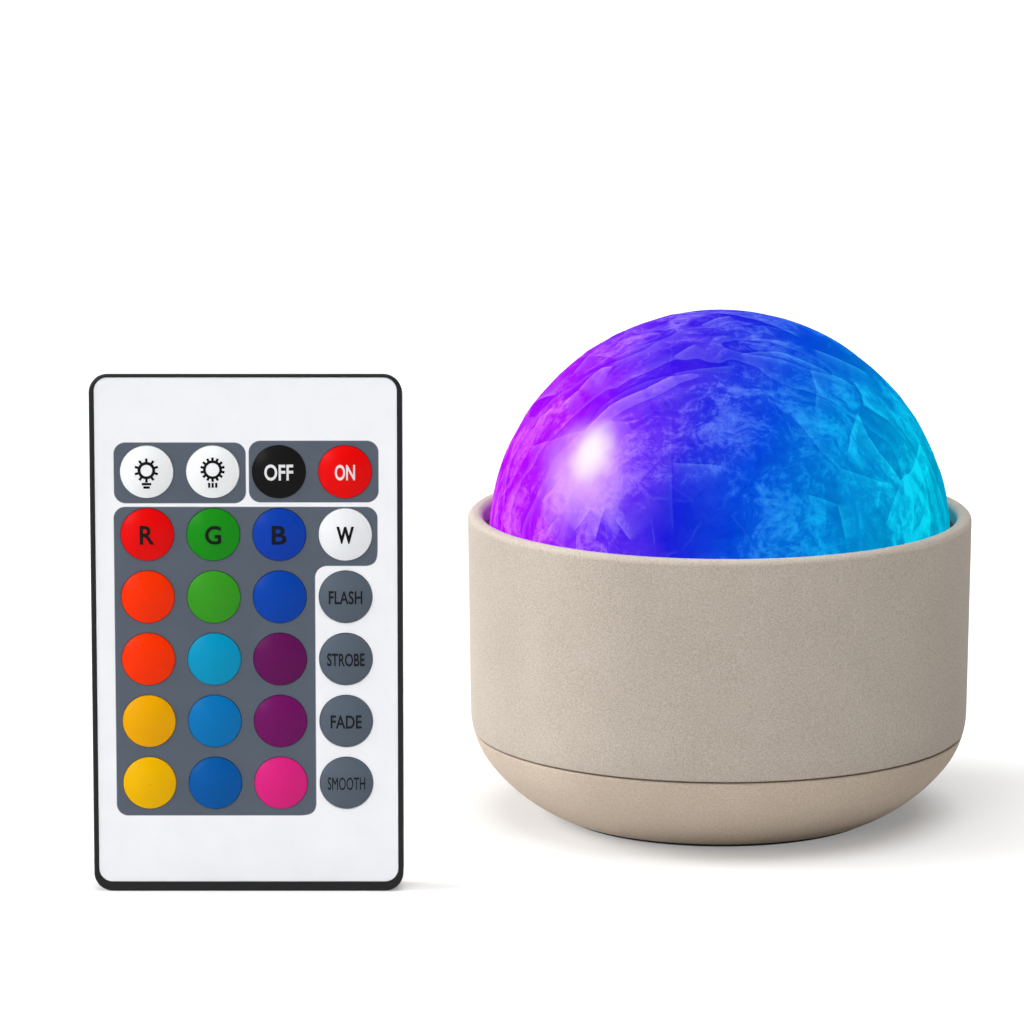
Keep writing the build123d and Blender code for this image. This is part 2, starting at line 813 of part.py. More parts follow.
def remote_case():
    """Tray-shaped case: sloped top edge, seat for the face plate, pocket for the board, battery slot."""
    case = Pos(0, remote_height / 2, 0) * block(remote_width, remote_height, 0, case_front)
    over = Box(2 * remote_width, case_front, 2 * case_front, align=(Align.CENTER, Align.MIN, Align.MAX))
    case -= Pos(0, remote_height, case_front) * Rot(-top_slope, 0, 0) * over
    case = fillet(case.edges().sort_by(SortBy.LENGTH)[:4], case_corner)
    case = fillet(case.edges().group_by(Axis.Z)[0], min(case_round, back_wall * 0.9))
    case = fillet(case.edges().group_by(Axis.Z)[-1], rim_top / 2)
    case -= rounded_slab(plate_width + 2 * fit_gap, plate_height + 2 * fit_gap, plate_corner, plate_middle,
                         plate_low, case_front)
    case -= rounded_slab(pocket_width, pocket_height, pocket_corner, plate_middle, board_low, plate_low)
    hollow_low = tray_length + hollow_margin
    hollow_high = pocket_high - hollow_margin
    case -= rounded_slab(pocket_width - 2 * hollow_margin, hollow_high - hollow_low, pocket_corner,
                         (hollow_low + hollow_high) / 2, back_wall, board_low)
    slot_length = tray_length + 2 * slide_gap
    slot_width = tray_width + 2 * slide_gap
    case -= Pos(0, slot_length / 2, 0) * block(slot_width, slot_length, back_wall, board_low)
    return remote_place * (case - emitter_rod(emitter_radius + fit_gap, hollow_margin, remote_height))


def emitter_rod(radius, length, high):
    """Round rod along the remote's height at the emitter's level, ending at a given height."""
    rod = Cylinder(radius, length + emitter_length, align=(Align.CENTER, Align.CENTER, Align.MAX))
    return Pos(0, high, emitter_level) * Rot(-90, 0, 0) * rod


def face_plate():
    """White front plate with one round hole for each key."""
    plate = rounded_slab(plate_width, plate_height, plate_corner, plate_middle, plate_low, plate_high)
    return remote_place * (plate - all_keys(disc(key_radius + key_hole_gap, plate_low, plate_high)))


def remote_board():
    """Circuit board of the remote, with a notch for the emitter."""
    width = pocket_width - 2 * fit_gap
    height = pocket_height - 2 * fit_gap
    board = rounded_slab(width, height, pocket_corner, plate_middle, board_low, board_high)
    notch_depth = emitter_length + emitter_recess
    notch = Pos(0, remote_height - notch_depth / 2, 0) * block(
        2 * (emitter_radius + fit_gap), notch_depth + 2 * fit_gap, board_low, board_high)
    return remote_place * (board - notch)


def snap_domes():
    """Metal snap domes on the board, one under each key."""
    dome = Pos(0, 0, board_high + snap_height / 2) * Cone(snap_radius, snap_radius * 0.7, snap_height)
    return remote_place * Compound(all_keys(dome))


def ir_emitter():
    """Infrared emitter that looks out of the remote's top edge."""
    return remote_place * emitter_rod(emitter_radius, 0, remote_height - emitter_recess)


def battery_contacts():
    """Two flat springs under the board, over the coin cell."""
    leaf = block(contact_width, contact_length, board_low - contact_thickness, board_low)
    side = cell_diameter / 4
    return remote_place * Compound([Pos(-side, cell_place, 0) * leaf, Pos(side, cell_place, 0) * leaf])


def battery_tray():
    """Flat tray that slides out of the remote's lower edge with the coin cell."""
    tray = Pos(0, tray_length / 2, 0) * block(tray_width, tray_length, tray_low, tray_high)
    tray -= Pos(0, cell_place, 0) * disc(cell_diameter / 2 + fit_gap, tray_low + tray_floor, tray_high)
    tray -= block(grip_width, 2 * grip_depth, tray_low + cell_thickness / 3, tray_high - cell_thickness / 3)
    return remote_place * tray


def coin_cell():
    """Button battery with its stepped upper face."""
    low = tray_low + tray_floor
    cell = disc(cell_diameter / 2, low, low + cell_thickness * 0.8)
    cell += disc(cell_diameter * 0.44, low, low + cell_thickness)
    return remote_place * Pos(0, cell_place, 0) * cell


def key_cap():
    """Domed key with a flange under the face plate and a nib over its snap dome."""
    edge = plate_high + key_edge
    crown = plate_high + key_crown
    flange = key_radius + key_flange_reach
    lower = Polyline((0, crown), (0, key_nib_low), (key_nib_radius, key_nib_low),
                     (key_nib_radius, key_flange_low), (flange, key_flange_low), (flange, key_flange_high),
                     (key_radius, key_flange_high), (key_radius, edge))
    top = TangentArc((0, crown), (key_radius, edge), tangent=(1, 0))
    return revolve(Plane.XZ * make_face([*lower.edges(), top]), Axis.Z)


parts = {
    "housing_shell": housing_shell(),
    "bottom_bowl": bottom_bowl(),
    "foot_pad": foot_pad(),
    "base_screws": base_screws(),
    "deck": deck(),
    "deck_screws": deck_screws(),
    "outer_dome": outer_dome(),
    "dome_ring": dome_ring(),
    "drive_gear": drive_gear(),
    "ripple_cup": ripple_cup(),
    "gear_clip": gear_clip(),
    "pinion": pinion(),
    "motor_shaft": motor_shaft(),
    "gearbox": gearbox(),
    "motor_can": motor_can(),
    "motor_screws": motor_screws(),
    "lamp_board": lamp_board(),
    "lamp_board_screws": lamp_board_screws(),
    "lamps": lamps(),
    "ir_receiver": ir_receiver(),
    "control_board": control_board(),
    "control_screws": control_screws(),
    "board_components": board_components(),
    "power_socket": power_socket(),
    "lamp_leads": lamp_leads(),
    "motor_leads": motor_leads(),
    "socket_leads": socket_leads(),
    "remote_case": remote_case(),
    "face_plate": face_plate(),
    "remote_board": remote_board(),
    "snap_domes": snap_domes(),
    "ir_emitter": ir_emitter(),
    "battery_contacts": battery_contacts(),
    "battery_tray": battery_tray(),
    "coin_cell": coin_cell(),
}
cap = key_cap()
for row, names in enumerate(key_names):
    for column, name in enumerate(names):
        parts["key_" + name] = remote_place * key_spot(row, column) * cap

os.makedirs("parts", exist_ok=True)
for node, shape in parts.items():
    export_step(shape, "parts/" + node + ".step")
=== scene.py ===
# %% [markdown]
# # A northern lights projector and its card remote
#
# The part is a round stone-look bowl with a glowing crumpled dome, and a thin remote with 24 keys.
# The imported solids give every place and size. This lesson dresses them: it keeps the solids whose
# shape is already right, gives each one a finish made of nodes, and models again only what the
# solids leave plain: the crumpled skin of the dome and the printed signs on the keys.

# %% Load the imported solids
import math

import bmesh
import bpy
import numpy as np
from mathutils import Matrix, Vector


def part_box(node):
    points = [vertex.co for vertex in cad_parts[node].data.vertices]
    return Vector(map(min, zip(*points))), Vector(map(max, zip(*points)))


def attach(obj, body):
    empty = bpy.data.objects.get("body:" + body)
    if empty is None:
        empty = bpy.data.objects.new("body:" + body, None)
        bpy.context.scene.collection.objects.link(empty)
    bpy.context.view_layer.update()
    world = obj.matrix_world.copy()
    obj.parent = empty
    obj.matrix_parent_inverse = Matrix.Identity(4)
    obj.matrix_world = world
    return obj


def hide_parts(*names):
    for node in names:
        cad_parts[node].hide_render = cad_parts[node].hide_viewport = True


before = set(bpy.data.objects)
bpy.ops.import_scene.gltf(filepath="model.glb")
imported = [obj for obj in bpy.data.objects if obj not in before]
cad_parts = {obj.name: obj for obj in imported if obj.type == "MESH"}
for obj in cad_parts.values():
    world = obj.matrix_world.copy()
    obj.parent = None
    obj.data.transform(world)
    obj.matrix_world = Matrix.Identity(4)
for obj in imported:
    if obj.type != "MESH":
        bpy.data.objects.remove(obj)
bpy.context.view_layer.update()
MM = 0.001
scene = bpy.context.scene
scene.view_settings.view_transform = "Standard"

# %% [markdown]
# ## The camera
#
# The picture was taken from a little above, with a long lens, so upright edges stay nearly upright.
# The camera comes first, because every later choice of size or tone is judged through it.
# A lens of about 236 mm on a 36 mm sensor, 1.2 m away, gives the same flat perspective.

# %% Camera
camera_data = bpy.data.cameras.new("camera")
camera_data.lens = 236.0
camera_data.sensor_width = 36.0
camera_data.clip_start = 0.01
camera = bpy.data.objects.new("camera", camera_data)
camera.location = (-0.0371, -1.1784, 0.2816)
camera.rotation_euler = (math.radians(79.1), 0.0, 0.0)
scene.collection.objects.link(camera)
scene.camera = camera
print("camera at", tuple(camera.location))

# %% [markdown]
# ## Four small tools for finishes
#
# Colours are written as sRGB hex values, as a paint card would give them, and Blender wants linear
# light, so one function turns them. A second one adds a node with its settings and links. A third
# starts a material and hands back its tree, and a fourth puts it on solids. Everything else is said
# in each finish itself.

# %% Colour, node and finish helpers
def linear(code):
    """An sRGB hex colour as linear red, green, blue and alpha."""
    channels = [int(code[place:place + 2], 16) / 255 for place in (0, 2, 4)]
    return [c / 12.92 if c <= 0.04045 else ((c + 0.055) / 1.055) ** 2.4 for c in channels] + [1.0]


def add(tree, kind, sockets=None, stops=None, **settings):
    """Adds one node. Sockets take a value or another node's output, stops fill a colour ramp."""
    node = tree.nodes.new(kind)
    for name, value in settings.items():
        setattr(node, name, value)
    for name, value in (sockets or {}).items():
        if isinstance(value, bpy.types.NodeSocket):
            tree.links.new(value, node.inputs[name])
        else:
            node.inputs[name].default_value = value
    for number, (place, code) in enumerate(stops or []):
        elements = node.color_ramp.elements
        stop = elements[number] if number < 2 else elements.new(place)
        stop.position = place
        stop.color = linear(code)
    return node


def new_finish(name):
    """A new material, its node tree, its shader and the object's own coordinates in metres."""
    finish = bpy.data.materials.new(name)
    finish.use_nodes = True
    tree = finish.node_tree
    return finish, tree, tree.nodes["Principled BSDF"], add(tree, "ShaderNodeTexCoord").outputs["Object"]


def dress(finish, *names):
    """Puts a finish on solids of the frame."""
    for name in names:
        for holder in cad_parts[name].material_slots:
            holder.material = finish
    print(finish.name, "on", len(names), "solids")


# %% [markdown]
# ## The stone-look housing and bowl
#
# The real base is moulded ABS with a fine spark-eroded texture, in a beige that carries paler and
# darker grains. It could be painted with an image, but grains of about a quarter of a millimetre are
# just what noise is good at. One noise gives the grains, a broader one gives the soft clouding of
# the moulding, and the same grains press a shallow relief into the surface, so it stays matt.

# %% Stone-look ABS
def stone_look(name, dark, body, pale):
    """Matt ABS moulding: grains of 0.27 mm in three tones, which give a dry, sandy look."""
    finish, tree, shader, place = new_finish(name)
    grain = add(tree, "ShaderNodeTexNoise", {"Vector": place, "Scale": 1 / (0.27 * MM), "Detail": 2.0,
                                             "Roughness": 0.6})
    cloud = add(tree, "ShaderNodeTexNoise", {"Vector": place, "Scale": 1 / (9 * MM), "Detail": 4.0})
    both = add(tree, "ShaderNodeMix", {0: 0.12, 2: grain.outputs["Fac"], 3: cloud.outputs["Fac"]})
    tones = add(tree, "ShaderNodeValToRGB", {"Fac": both.outputs[0]},
                [(0.36, dark), (0.66, pale), (0.5, body)])
    bump = add(tree, "ShaderNodeBump", {"Height": grain.outputs["Fac"], "Strength": 0.35,
                                        "Distance": 0.12 * MM})
    rough = add(tree, "ShaderNodeMapRange", {"Value": grain.outputs["Fac"], "To Min": 0.78, "To Max": 0.95})
    tree.links.new(tones.outputs["Color"], shader.inputs["Base Color"])
    tree.links.new(rough.outputs["Result"], shader.inputs["Roughness"])
    tree.links.new(bump.outputs["Normal"], shader.inputs["Normal"])
    shader.inputs["IOR"].default_value = 1.5
    shader.inputs["Specular IOR Level"].default_value = 0.3
    return finish


dress(stone_look("abs_stone_look_moulded", "A79C90", "B4A99D", "C0B6AB"), "housing_shell")
# The bowl is a little pinker than the housing, and paler: painted light for its downward-facing side.
dress(stone_look("abs_stone_look_bowl", "B5A594", "C1B1A0", "CCBDAD"), "bottom_bowl")

# %% [markdown]
# ## Plain mouldings, rubber and metal
#
# Most other pieces are plain mouldings. A moulding is never quite even: its sheen changes over a few
# millimetres, and its skin has a faint ripple. One function gives that to every colour, so the
# gears, the leads and the keys differ by their colour, roughness and ripple alone.

# %% Mouldings
def moulding(name, code, rough, ripple_mm, ripple_depth=0.02, shade=0.9, shine=0.5):
    """Injection moulding: clouded tone and sheen, with a ripple whose width and depth are millimetres."""
    finish, tree, shader, place = new_finish(name)
    cloud = add(tree, "ShaderNodeTexNoise", {"Vector": place, "Scale": 1 / (3 * MM), "Detail": 3.0})
    ripple = add(tree, "ShaderNodeTexNoise", {"Vector": place, "Scale": 1 / (ripple_mm * MM),
                                              "Detail": 2.0})
    full = linear(code)
    tones = add(tree, "ShaderNodeMix", {0: cloud.outputs["Fac"], 6: [shade * c for c in full[:3]] + [1.0],
                                        7: full}, data_type="RGBA")
    sheen = add(tree, "ShaderNodeMapRange", {"Value": cloud.outputs["Fac"], "To Min": rough - 0.05,
                                             "To Max": rough + 0.05})
    bump = add(tree, "ShaderNodeBump", {"Height": ripple.outputs["Fac"], "Strength": 0.2,
                                        "Distance": ripple_depth * MM})
    tree.links.new(tones.outputs[2], shader.inputs["Base Color"])
    tree.links.new(sheen.outputs["Result"], shader.inputs["Roughness"])
    tree.links.new(bump.outputs["Normal"], shader.inputs["Normal"])
    shader.inputs["IOR"].default_value = 1.5
    shader.inputs["Specular IOR Level"].default_value = shine
    return finish


dress(moulding("rubber_moulded_black", "161616", 0.85, 0.5, 0.06), "foot_pad")
dress(moulding("abs_moulded_natural", "DAD9D4", 0.55, 0.6), "deck")
dress(moulding("abs_moulded_black_ring", "121214", 0.6, 0.5, 0.03), "dome_ring")
dress(moulding("acetal_moulded_gears", "EAE7DA", 0.4, 0.8), "drive_gear", "pinion")
dress(moulding("nylon_moulded_dark", "1C1C1F", 0.5, 0.6), "gearbox", "power_socket", "board_components")
dress(moulding("pvc_lead_jacket", "8C1A14", 0.45, 0.8), "lamp_leads", "motor_leads", "socket_leads")
dress(moulding("abs_moulded_tray", "19191B", 0.5, 0.5, 0.03), "battery_tray")

# %% [markdown]
# ## Screws, shaft, springs and cell
#
# These are zinc-plated or nickel-plated steel. Plating follows the drawn or turned surface under it,
# so the metal shows fine lines and a slightly uneven gloss. A noise stretched along one direction
# draws those lines without any image.

# %% Plated steel
def plated(name, code, rough, line_mm):
    """Plated steel: full metal, fine drawn lines of the given spacing, uneven gloss."""
    finish, tree, shader, place = new_finish(name)
    along = add(tree, "ShaderNodeMapping", {"Vector": place, "Scale": (1.0, 1.0, 0.08)})
    lines = add(tree, "ShaderNodeTexNoise", {"Vector": along.outputs["Vector"], "Scale": 1 / (line_mm * MM),
                                             "Detail": 3.0})
    sheen = add(tree, "ShaderNodeMapRange", {"Value": lines.outputs["Fac"], "To Min": rough - 0.08,
                                             "To Max": rough + 0.12})
    full = linear(code)
    tones = add(tree, "ShaderNodeMix", {0: lines.outputs["Fac"], 6: [0.8 * c for c in full[:3]] + [1.0],
                                        7: full}, data_type="RGBA")
    tree.links.new(tones.outputs[2], shader.inputs["Base Color"])
    tree.links.new(sheen.outputs["Result"], shader.inputs["Roughness"])
    shader.inputs["Metallic"].default_value = 1.0
    return finish


dress(plated("steel_zinc_plated", "C9CCD1", 0.34, 0.2), "base_screws", "deck_screws", "motor_screws",
      "lamp_board_screws", "control_screws", "motor_shaft", "motor_can", "gear_clip")
dress(plated("steel_nickel_plated", "B4B3AE", 0.26, 0.15), "battery_contacts", "snap_domes", "coin_cell")

# %% [markdown]
# ## Circuit boards, lamps and infrared parts
#
# A circuit board is glass cloth in resin under a green lacquer, with copper tracks that show through
# as paler lines. Bricks with very thin mortar give such right-angled tracks. The lamps are cast in
# yellowish resin, and the infrared parts in a resin so dark that it looks black until light catches it.

# %% Boards
# Lacquer over glass cloth looks half glossy, with the weave as a faint change of its sheen.
TRACK_SPACING, CLOTH_WEAVE = 4 * MM, 0.6 * MM
board, tree, shader, place = new_finish("glass_epoxy_lacquered")
tracks = add(tree, "ShaderNodeTexBrick", {"Vector": place, "Scale": 1 / TRACK_SPACING, "Mortar Size": 0.06,
                                          "Color1": linear("0D4A26"), "Color2": linear("105530"),
                                          "Mortar": linear("2C8A57")})
tree.links.new(tracks.outputs["Color"], shader.inputs["Base Color"])
cloth = add(tree, "ShaderNodeTexNoise", {"Vector": place, "Scale": 1 / CLOTH_WEAVE, "Detail": 2.0})
rough = add(tree, "ShaderNodeMapRange", {"Value": cloth.outputs["Fac"], "To Min": 0.3, "To Max": 0.5})
tree.links.new(rough.outputs["Result"], shader.inputs["Roughness"])
shader.inputs["IOR"].default_value = 1.55
dress(board, "lamp_board", "control_board", "remote_board")

# %% Lamps and infrared resin
dress(moulding("epoxy_cast_lamp", "F4E9B4", 0.2, 1.0), "lamps")
dress(moulding("epoxy_cast_infrared", "1A0B18", 0.12, 1.0), "ir_receiver", "ir_emitter")

# %% Clear ripple cup
# Clear moulded acrylic: its facets bend what lies behind them, and a faint haze softens their shine.
clear, tree, shader, place = new_finish("acrylic_moulded_clear")
haze = add(tree, "ShaderNodeTexNoise", {"Vector": place, "Scale": 1 / (2 * MM), "Detail": 3.0})
rough = add(tree, "ShaderNodeMapRange", {"Value": haze.outputs["Fac"], "To Min": 0.04, "To Max": 0.16})
tree.links.new(rough.outputs["Result"], shader.inputs["Roughness"])
shader.inputs["Base Color"].default_value = linear("E6ECF4")
shader.inputs["Transmission Weight"].default_value = 0.9
shader.inputs["IOR"].default_value = 1.49
dress(clear, "ripple_cup")

# %% [markdown]
# ## The dome's shell
#
# The dome is the piece that the eye goes to: a shell like crumpled film, lit from inside. The solid has
# a smooth outside, so the skin is modelled here. One point is swept into an arc, the wall and the
# flange follow, and the whole outline is spun once round the axis. Radius and seat are read from the
# solid, so the new shell keeps both.

# %% Spin the dome's shell
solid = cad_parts["outer_dome"]
low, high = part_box("outer_dome")
FLANGE, WALL = 1.6 * MM, 1.8 * MM
flange_radius = high.x
flange_top = low.z + FLANGE
above = [p for p in (solid.matrix_world @ v.co for v in solid.data.vertices) if p.z > flange_top + 0.1 * MM]
dome_radius = max(p.xy.length for p in above)
dome_centre = Vector((0, 0, high.z - dome_radius))
ARC_STEPS, INNER_STEPS, TURN_STEPS = 100, 14, 420

shell = bmesh.new()
apex = shell.verts.new(dome_centre + Vector((0, 0, dome_radius)))
arc = bmesh.ops.spin(shell, geom=[apex], cent=dome_centre, axis=(0, 1, 0), angle=math.pi / 2,
                     steps=ARC_STEPS)
last = [piece for piece in arc["geom_last"] if isinstance(piece, bmesh.types.BMVert)][0]
for across, height in ((dome_radius, flange_top), (flange_radius, flange_top), (flange_radius, low.z),
                       (dome_radius - WALL, low.z), (dome_radius - WALL, dome_centre.z)):
    last = bmesh.ops.extrude_vert_indiv(shell, verts=[last])["verts"][0]
    last.co = (across, 0, height)
bmesh.ops.spin(shell, geom=[last], cent=dome_centre, axis=(0, 1, 0), angle=-math.pi / 2,
               steps=INNER_STEPS)
bmesh.ops.spin(shell, geom=shell.verts[:] + shell.edges[:], cent=dome_centre, axis=(0, 0, 1),
               angle=2 * math.pi, steps=TURN_STEPS, use_merge=True)
bmesh.ops.remove_doubles(shell, verts=shell.verts[:], dist=0.001 * MM)
bmesh.ops.recalc_face_normals(shell, faces=shell.faces[:])
print("dome radius", round(dome_radius / MM, 2), "mm,", len(shell.faces), "faces")

# %% [markdown]
# ## Facets
#
# Crumpled film breaks into facets that meet in sharp folds. On a ball, the facets around scattered
# points are the regions nearest to each point, and the fold between two of them lies on the plane
# halfway between the two points. So each fold is cut into the net by its plane. A net without these
# cuts would show every fold as a saw edge, however fine it was.

# %% Scatter the facets
FACETS = 130
draw = np.random.default_rng(24)
seeds = draw.normal(size=(FACETS, 3))
seeds /= np.linalg.norm(seeds, axis=1, keepdims=True)
facet_light_layer = shell.faces.layers.float.new("facet_painted_light")
tilt_layer = shell.faces.layers.float_vector.new("facet_tilt")
light_layer = shell.verts.layers.float.new("fold_light")
print("facet points:", len(seeds))


def on_skin(vert):
    """Tells whether a point belongs to the ball-shaped outside of the dome."""
    step = vert.co - dome_centre
    return step.z > 0.01 * MM and abs(step.length - dome_radius) < 0.05 * MM


def directions(faces):
    """The directions of the middles of some faces, seen from the dome's centre."""
    middles = np.array([f.calc_center_median() - dome_centre for f in faces]).reshape(-1, 3)
    return middles / np.linalg.norm(middles, axis=1, keepdims=True)


def skin_faces():
    """The faces of the dome's outside."""
    return [f for f in shell.faces if all(on_skin(v) for v in f.verts)]


def nearest_two(ways):
    """The two nearest facet points of each direction, and its distance from their fold in millimetres."""
    nearness = ways @ seeds.T
    order = np.argsort(-nearness, axis=1)[:, :2]
    rows = np.arange(len(ways))
    first, second = order[:, 0], order[:, 1]
    apart = np.linalg.norm(seeds[first] - seeds[second], axis=1)
    away = (nearness[rows, first] - nearness[rows, second]) / apart * dome_radius / MM
    return first, second, away


def cut(faces, pole, offset_mm=0.0):
    """Cuts some faces by a plane that lies a little beside the dome's centre. Returns the added faces."""
    edges = dict.fromkeys(e for f in faces for e in f.edges)
    verts = dict.fromkeys(v for f in faces for v in f.verts)
    result = bmesh.ops.bisect_plane(shell, geom=[*faces, *edges, *verts], dist=0.02 * MM,
                                    plane_no=Vector(pole),
                                    plane_co=dome_centre + Vector(pole) * offset_mm * MM)
    known = set(faces)
    return [f for f in result["geom"] if isinstance(f, bmesh.types.BMFace) and f not in known]


# %% Cut the folds between the facets
CLOSE_MM = 0.7
beside_fold = {}


def sort_by_fold(faces):
    """Notes each face close beside a fold under the pair of facets that meet there."""
    first, second, away = nearest_two(directions(faces))
    for number in np.flatnonzero(away < CLOSE_MM):
        pair = tuple(sorted((int(first[number]), int(second[number]))))
        beside_fold.setdefault(pair, []).append(faces[number])


sort_by_fold(skin_faces())
for one, other in sorted(beside_fold):
    step = seeds[one] - seeds[other]
    sort_by_fold(cut(beside_fold[one, other], step / np.linalg.norm(step)))
print("facets:", FACETS, "folds:", len(beside_fold), "faces:", len(shell.faces))

# %% [markdown]
# ## Long folds
#
# Some folds are long and run across the facets, with painted light on one side and painted shade on the
# other, as where one layer of film lies over the next. Those on the front are laid where the picture shows
# them, given as millimetres to the right and up from the dome's middle in the view. The lit side is to the
# left when walking along the points. The rest of the dome gets scattered ones of the same kind.

# %% Points of the long folds
# Each fold has its strength first, and then its points in millimetres.
VIEW_TILT = math.radians(10.9)
SCATTERED_FOLDS, SCATTERED_LENGTH = 60, 0.3
front_folds = [
    (1.0, (-9, 29), (-13.9, 26.6), (-19.7, 24), (-24.3, 19.5)),
    (0.5, (-24.3, 19.5), (-30.4, 17.7), (-33.6, 16.6)),
    (0.9, (-19.5, 30.8), (-21.1, 30.6), (-23.2, 29.1), (-25.4, 26.6), (-28.2, 24.2)),
    (0.7, (-29.9, 23.6), (-32, 22), (-33.1, 20.4)), (0.7, (-3, 40.6), (-7.2, 40.1), (-9.5, 38.7)),
    (0.8, (1.4, 39.9), (-0.8, 39.5), (-3.6, 38.2)), (0.6, (-11.3, 35.4), (-19.5, 32.2)),
    (0.6, (-4.9, 34.7), (-8.8, 32.4)), (0.5, (1.4, 30.6), (-9, 29.4)), (0.15, (-9.2, 2), (-9.4, 21.3)),
    (0.5, (-0.8, 13.1), (-9.3, 13.6)), (0.7, (-22.7, 0.4), (-21.1, 6.1)), (0.6, (-19.1, 3.8), (-16.6, 0.4)),
    (0.6, (-28.8, 4.6), (-30.9, 2)), (0.6, (-26.1, 2), (-23.4, 5.9)),
    (0.7, (22.5, 27.7), (19, 29.4), (15.2, 31.3), (10, 33.3), (3, 32.9)),
    (0.9, (25.8, 29.7), (21.6, 31.7), (16.3, 33.8)),
    (1.0, (23.1, 28.1), (24.5, 25.6), (24.7, 24), (27.2, 22.5), (29.3, 21.3)),
    (0.8, (23.4, 22.4), (22, 18.4), (21.6, 15.7)),
    (0.9, (31, 10.6), (27.2, 15.5), (25.2, 18.4), (23.4, 22.4)),
    (0.7, (31, 10.6), (29.3, 5.9), (28.3, 3.2)), (0.9, (35, 17.3), (33.3, 12.5), (31, 10.6)),
    (0.6, (28.6, 10), (26.6, 10.6), (19.8, 12.7)), (0.5, (15.2, 30.2), (16.3, 26.1), (15.9, 23.4)),
    (0.5, (12.3, 21.3), (16.8, 15.7), (20, 12.7)), (0.7, (19.5, 6.4), (20.9, 0.4)),
    (0.5, (19.5, 6.4), (14.1, 8.2)), (0.9, (40.2, 3.9), (38.1, 10.7), (35, 17.3)),
    (0.8, (36.6, 2), (36, 9), (34, 15)), (0.7, (38.6, 3), (37.6, 9), (36, 14)),
    (0.7, (33.2, 2), (33.4, 8), (32, 12)), (0.6, (-38.6, 6), (-37.4, 14), (-34, 20)),
    (0.6, (-39.6, 3), (-39.4, 9)), (0.5, (13, 37.1), (5.3, 38.2)), (0.5, (11.6, 34.9), (5.8, 35.8)),
]


def on_view(right, up):
    """The direction of a point of the dome that shows at a place in the front view, in millimetres."""
    ball = dome_radius / MM
    towards = math.sqrt(max(0.0, ball ** 2 - right ** 2 - up ** 2))
    back = up * math.sin(VIEW_TILT) - towards * math.cos(VIEW_TILT)
    step = np.array((right, back, up * math.cos(VIEW_TILT) + towards * math.sin(VIEW_TILT)))
    return step / np.linalg.norm(step)


folds = []
for strength, *points in front_folds:
    turns = [on_view(*point) for point in points]
    folds += [(strength, start, end) for start, end in zip(turns, turns[1:])]
for _ in range(SCATTERED_FOLDS):
    start = draw.normal(size=3)
    start[1:] = abs(start[1:])
    start /= np.linalg.norm(start)
    end = start + SCATTERED_LENGTH * draw.normal(size=3)
    folds.append((0.4 + 0.5 * draw.random(), start, end / np.linalg.norm(end)))
print("pieces of long folds:", len(folds))


# %% Cut the long folds
def beside_and_along(ways, start, end):
    """The pole of one piece of fold, the distance beside it in millimetres and the share along it."""
    pole = np.cross(start, end)
    pole /= np.linalg.norm(pole)
    beside = np.arcsin(np.clip(ways @ pole, -1, 1)) * dome_radius / MM
    turn = np.arctan2(ways @ np.cross(pole, start), ways @ start)
    return pole, beside, turn / math.acos(float(np.clip(start @ end, -1, 1)))


CUT_REACH, FOLD_EDGE, OVERRUN = 1.1, 0.22, 0.05
faces = skin_faces()
middles = directions(faces)
for strength, start, end in folds:
    pole, beside, along = beside_and_along(middles, start, end)
    close = (abs(beside) < CUT_REACH) & (along > -OVERRUN) & (along < 1 + OVERRUN)
    near = [faces[n] for n in np.flatnonzero(close)]
    added = cut(near, pole)
    added += cut(near + added, pole, -FOLD_EDGE)
    faces += added
    middles = np.vstack([middles, directions(added)])
print("faces after all cuts:", len(shell.faces))

# %% [markdown]
# ## Pressing the skin in
#
# The facets are dished: they lie on the ball at their folds and sink towards their middles, so the dome's
# outline stays. Long folds stand up again as ridges. Each point also learns how much painted light its fold
# gives it, and each face learns its facet's painted light and the direction in which that light changes.
# The finish reads these three.

# %% Depth and light of each point
# Depths and widths are in millimetres, ends in shares of a fold's length.
FACET_DEPTH, DISH_WIDTH, RIDGE_WIDTH, RIM_FADE = 0.18, 2.5, 0.6, 2
FADE_LIT, FADE_DARK, FOLD_LINE = 3.0, 1.6, 0.4
END_REACH, END_FADE = 0.04, 0.12
DARKEST, RIDGE_SHARE = -0.6, 0.8
skin = [v for v in shell.verts if on_skin(v)]
reach = np.array([v.co - dome_centre for v in skin])
reach /= np.linalg.norm(reach, axis=1, keepdims=True)
away = nearest_two(reach)[2]
ridge = np.zeros(len(skin))
light = np.zeros(len(skin))
for strength, start, end in folds:
    beside, along = beside_and_along(reach, start, end)[1:]
    inside = strength * np.clip((along + END_REACH) / END_FADE, 0, 1)
    inside *= np.clip((1 + END_REACH - along) / END_FADE, 0, 1)
    lit_side = np.maximum(beside, 0)
    lit = 0.5 * np.exp(-lit_side / FADE_LIT) + 0.5 * np.exp(-lit_side / FOLD_LINE)
    dark = DARKEST * np.exp(-np.maximum(-beside - FOLD_EDGE, 0) / FADE_DARK)
    light += inside * np.where(beside > -FOLD_EDGE / 2, lit, dark)
    ridge = np.maximum(ridge, inside * np.exp(-(beside / RIDGE_WIDTH) ** 2))
depth = FACET_DEPTH * (1 - np.exp(-away / DISH_WIDTH)) * (1 - RIDGE_SHARE * ridge)
depth *= np.clip(reach[:, 2] * dome_radius / MM / RIM_FADE, 0, 1)
print("deepest dent:", round(float(depth.max()), 2), "mm")

# %% Painted light of each facet
FACET_LIGHT_TILT = 0.05
faces = skin_faces()
facet_painted_light = draw.random(FACETS)
facet_tilt = draw.normal(size=(FACETS, 3)) * FACET_LIGHT_TILT
for face, facet in zip(faces, nearest_two(directions(faces))[0]):
    middle = dome_centre + Vector(seeds[facet]) * dome_radius
    tilt = Vector(facet_tilt[facet]) / MM
    face[facet_light_layer] = float(facet_painted_light[facet]) - tilt.dot(middle)
    face[tilt_layer] = tilt
print("faces with a tone:", len(faces))

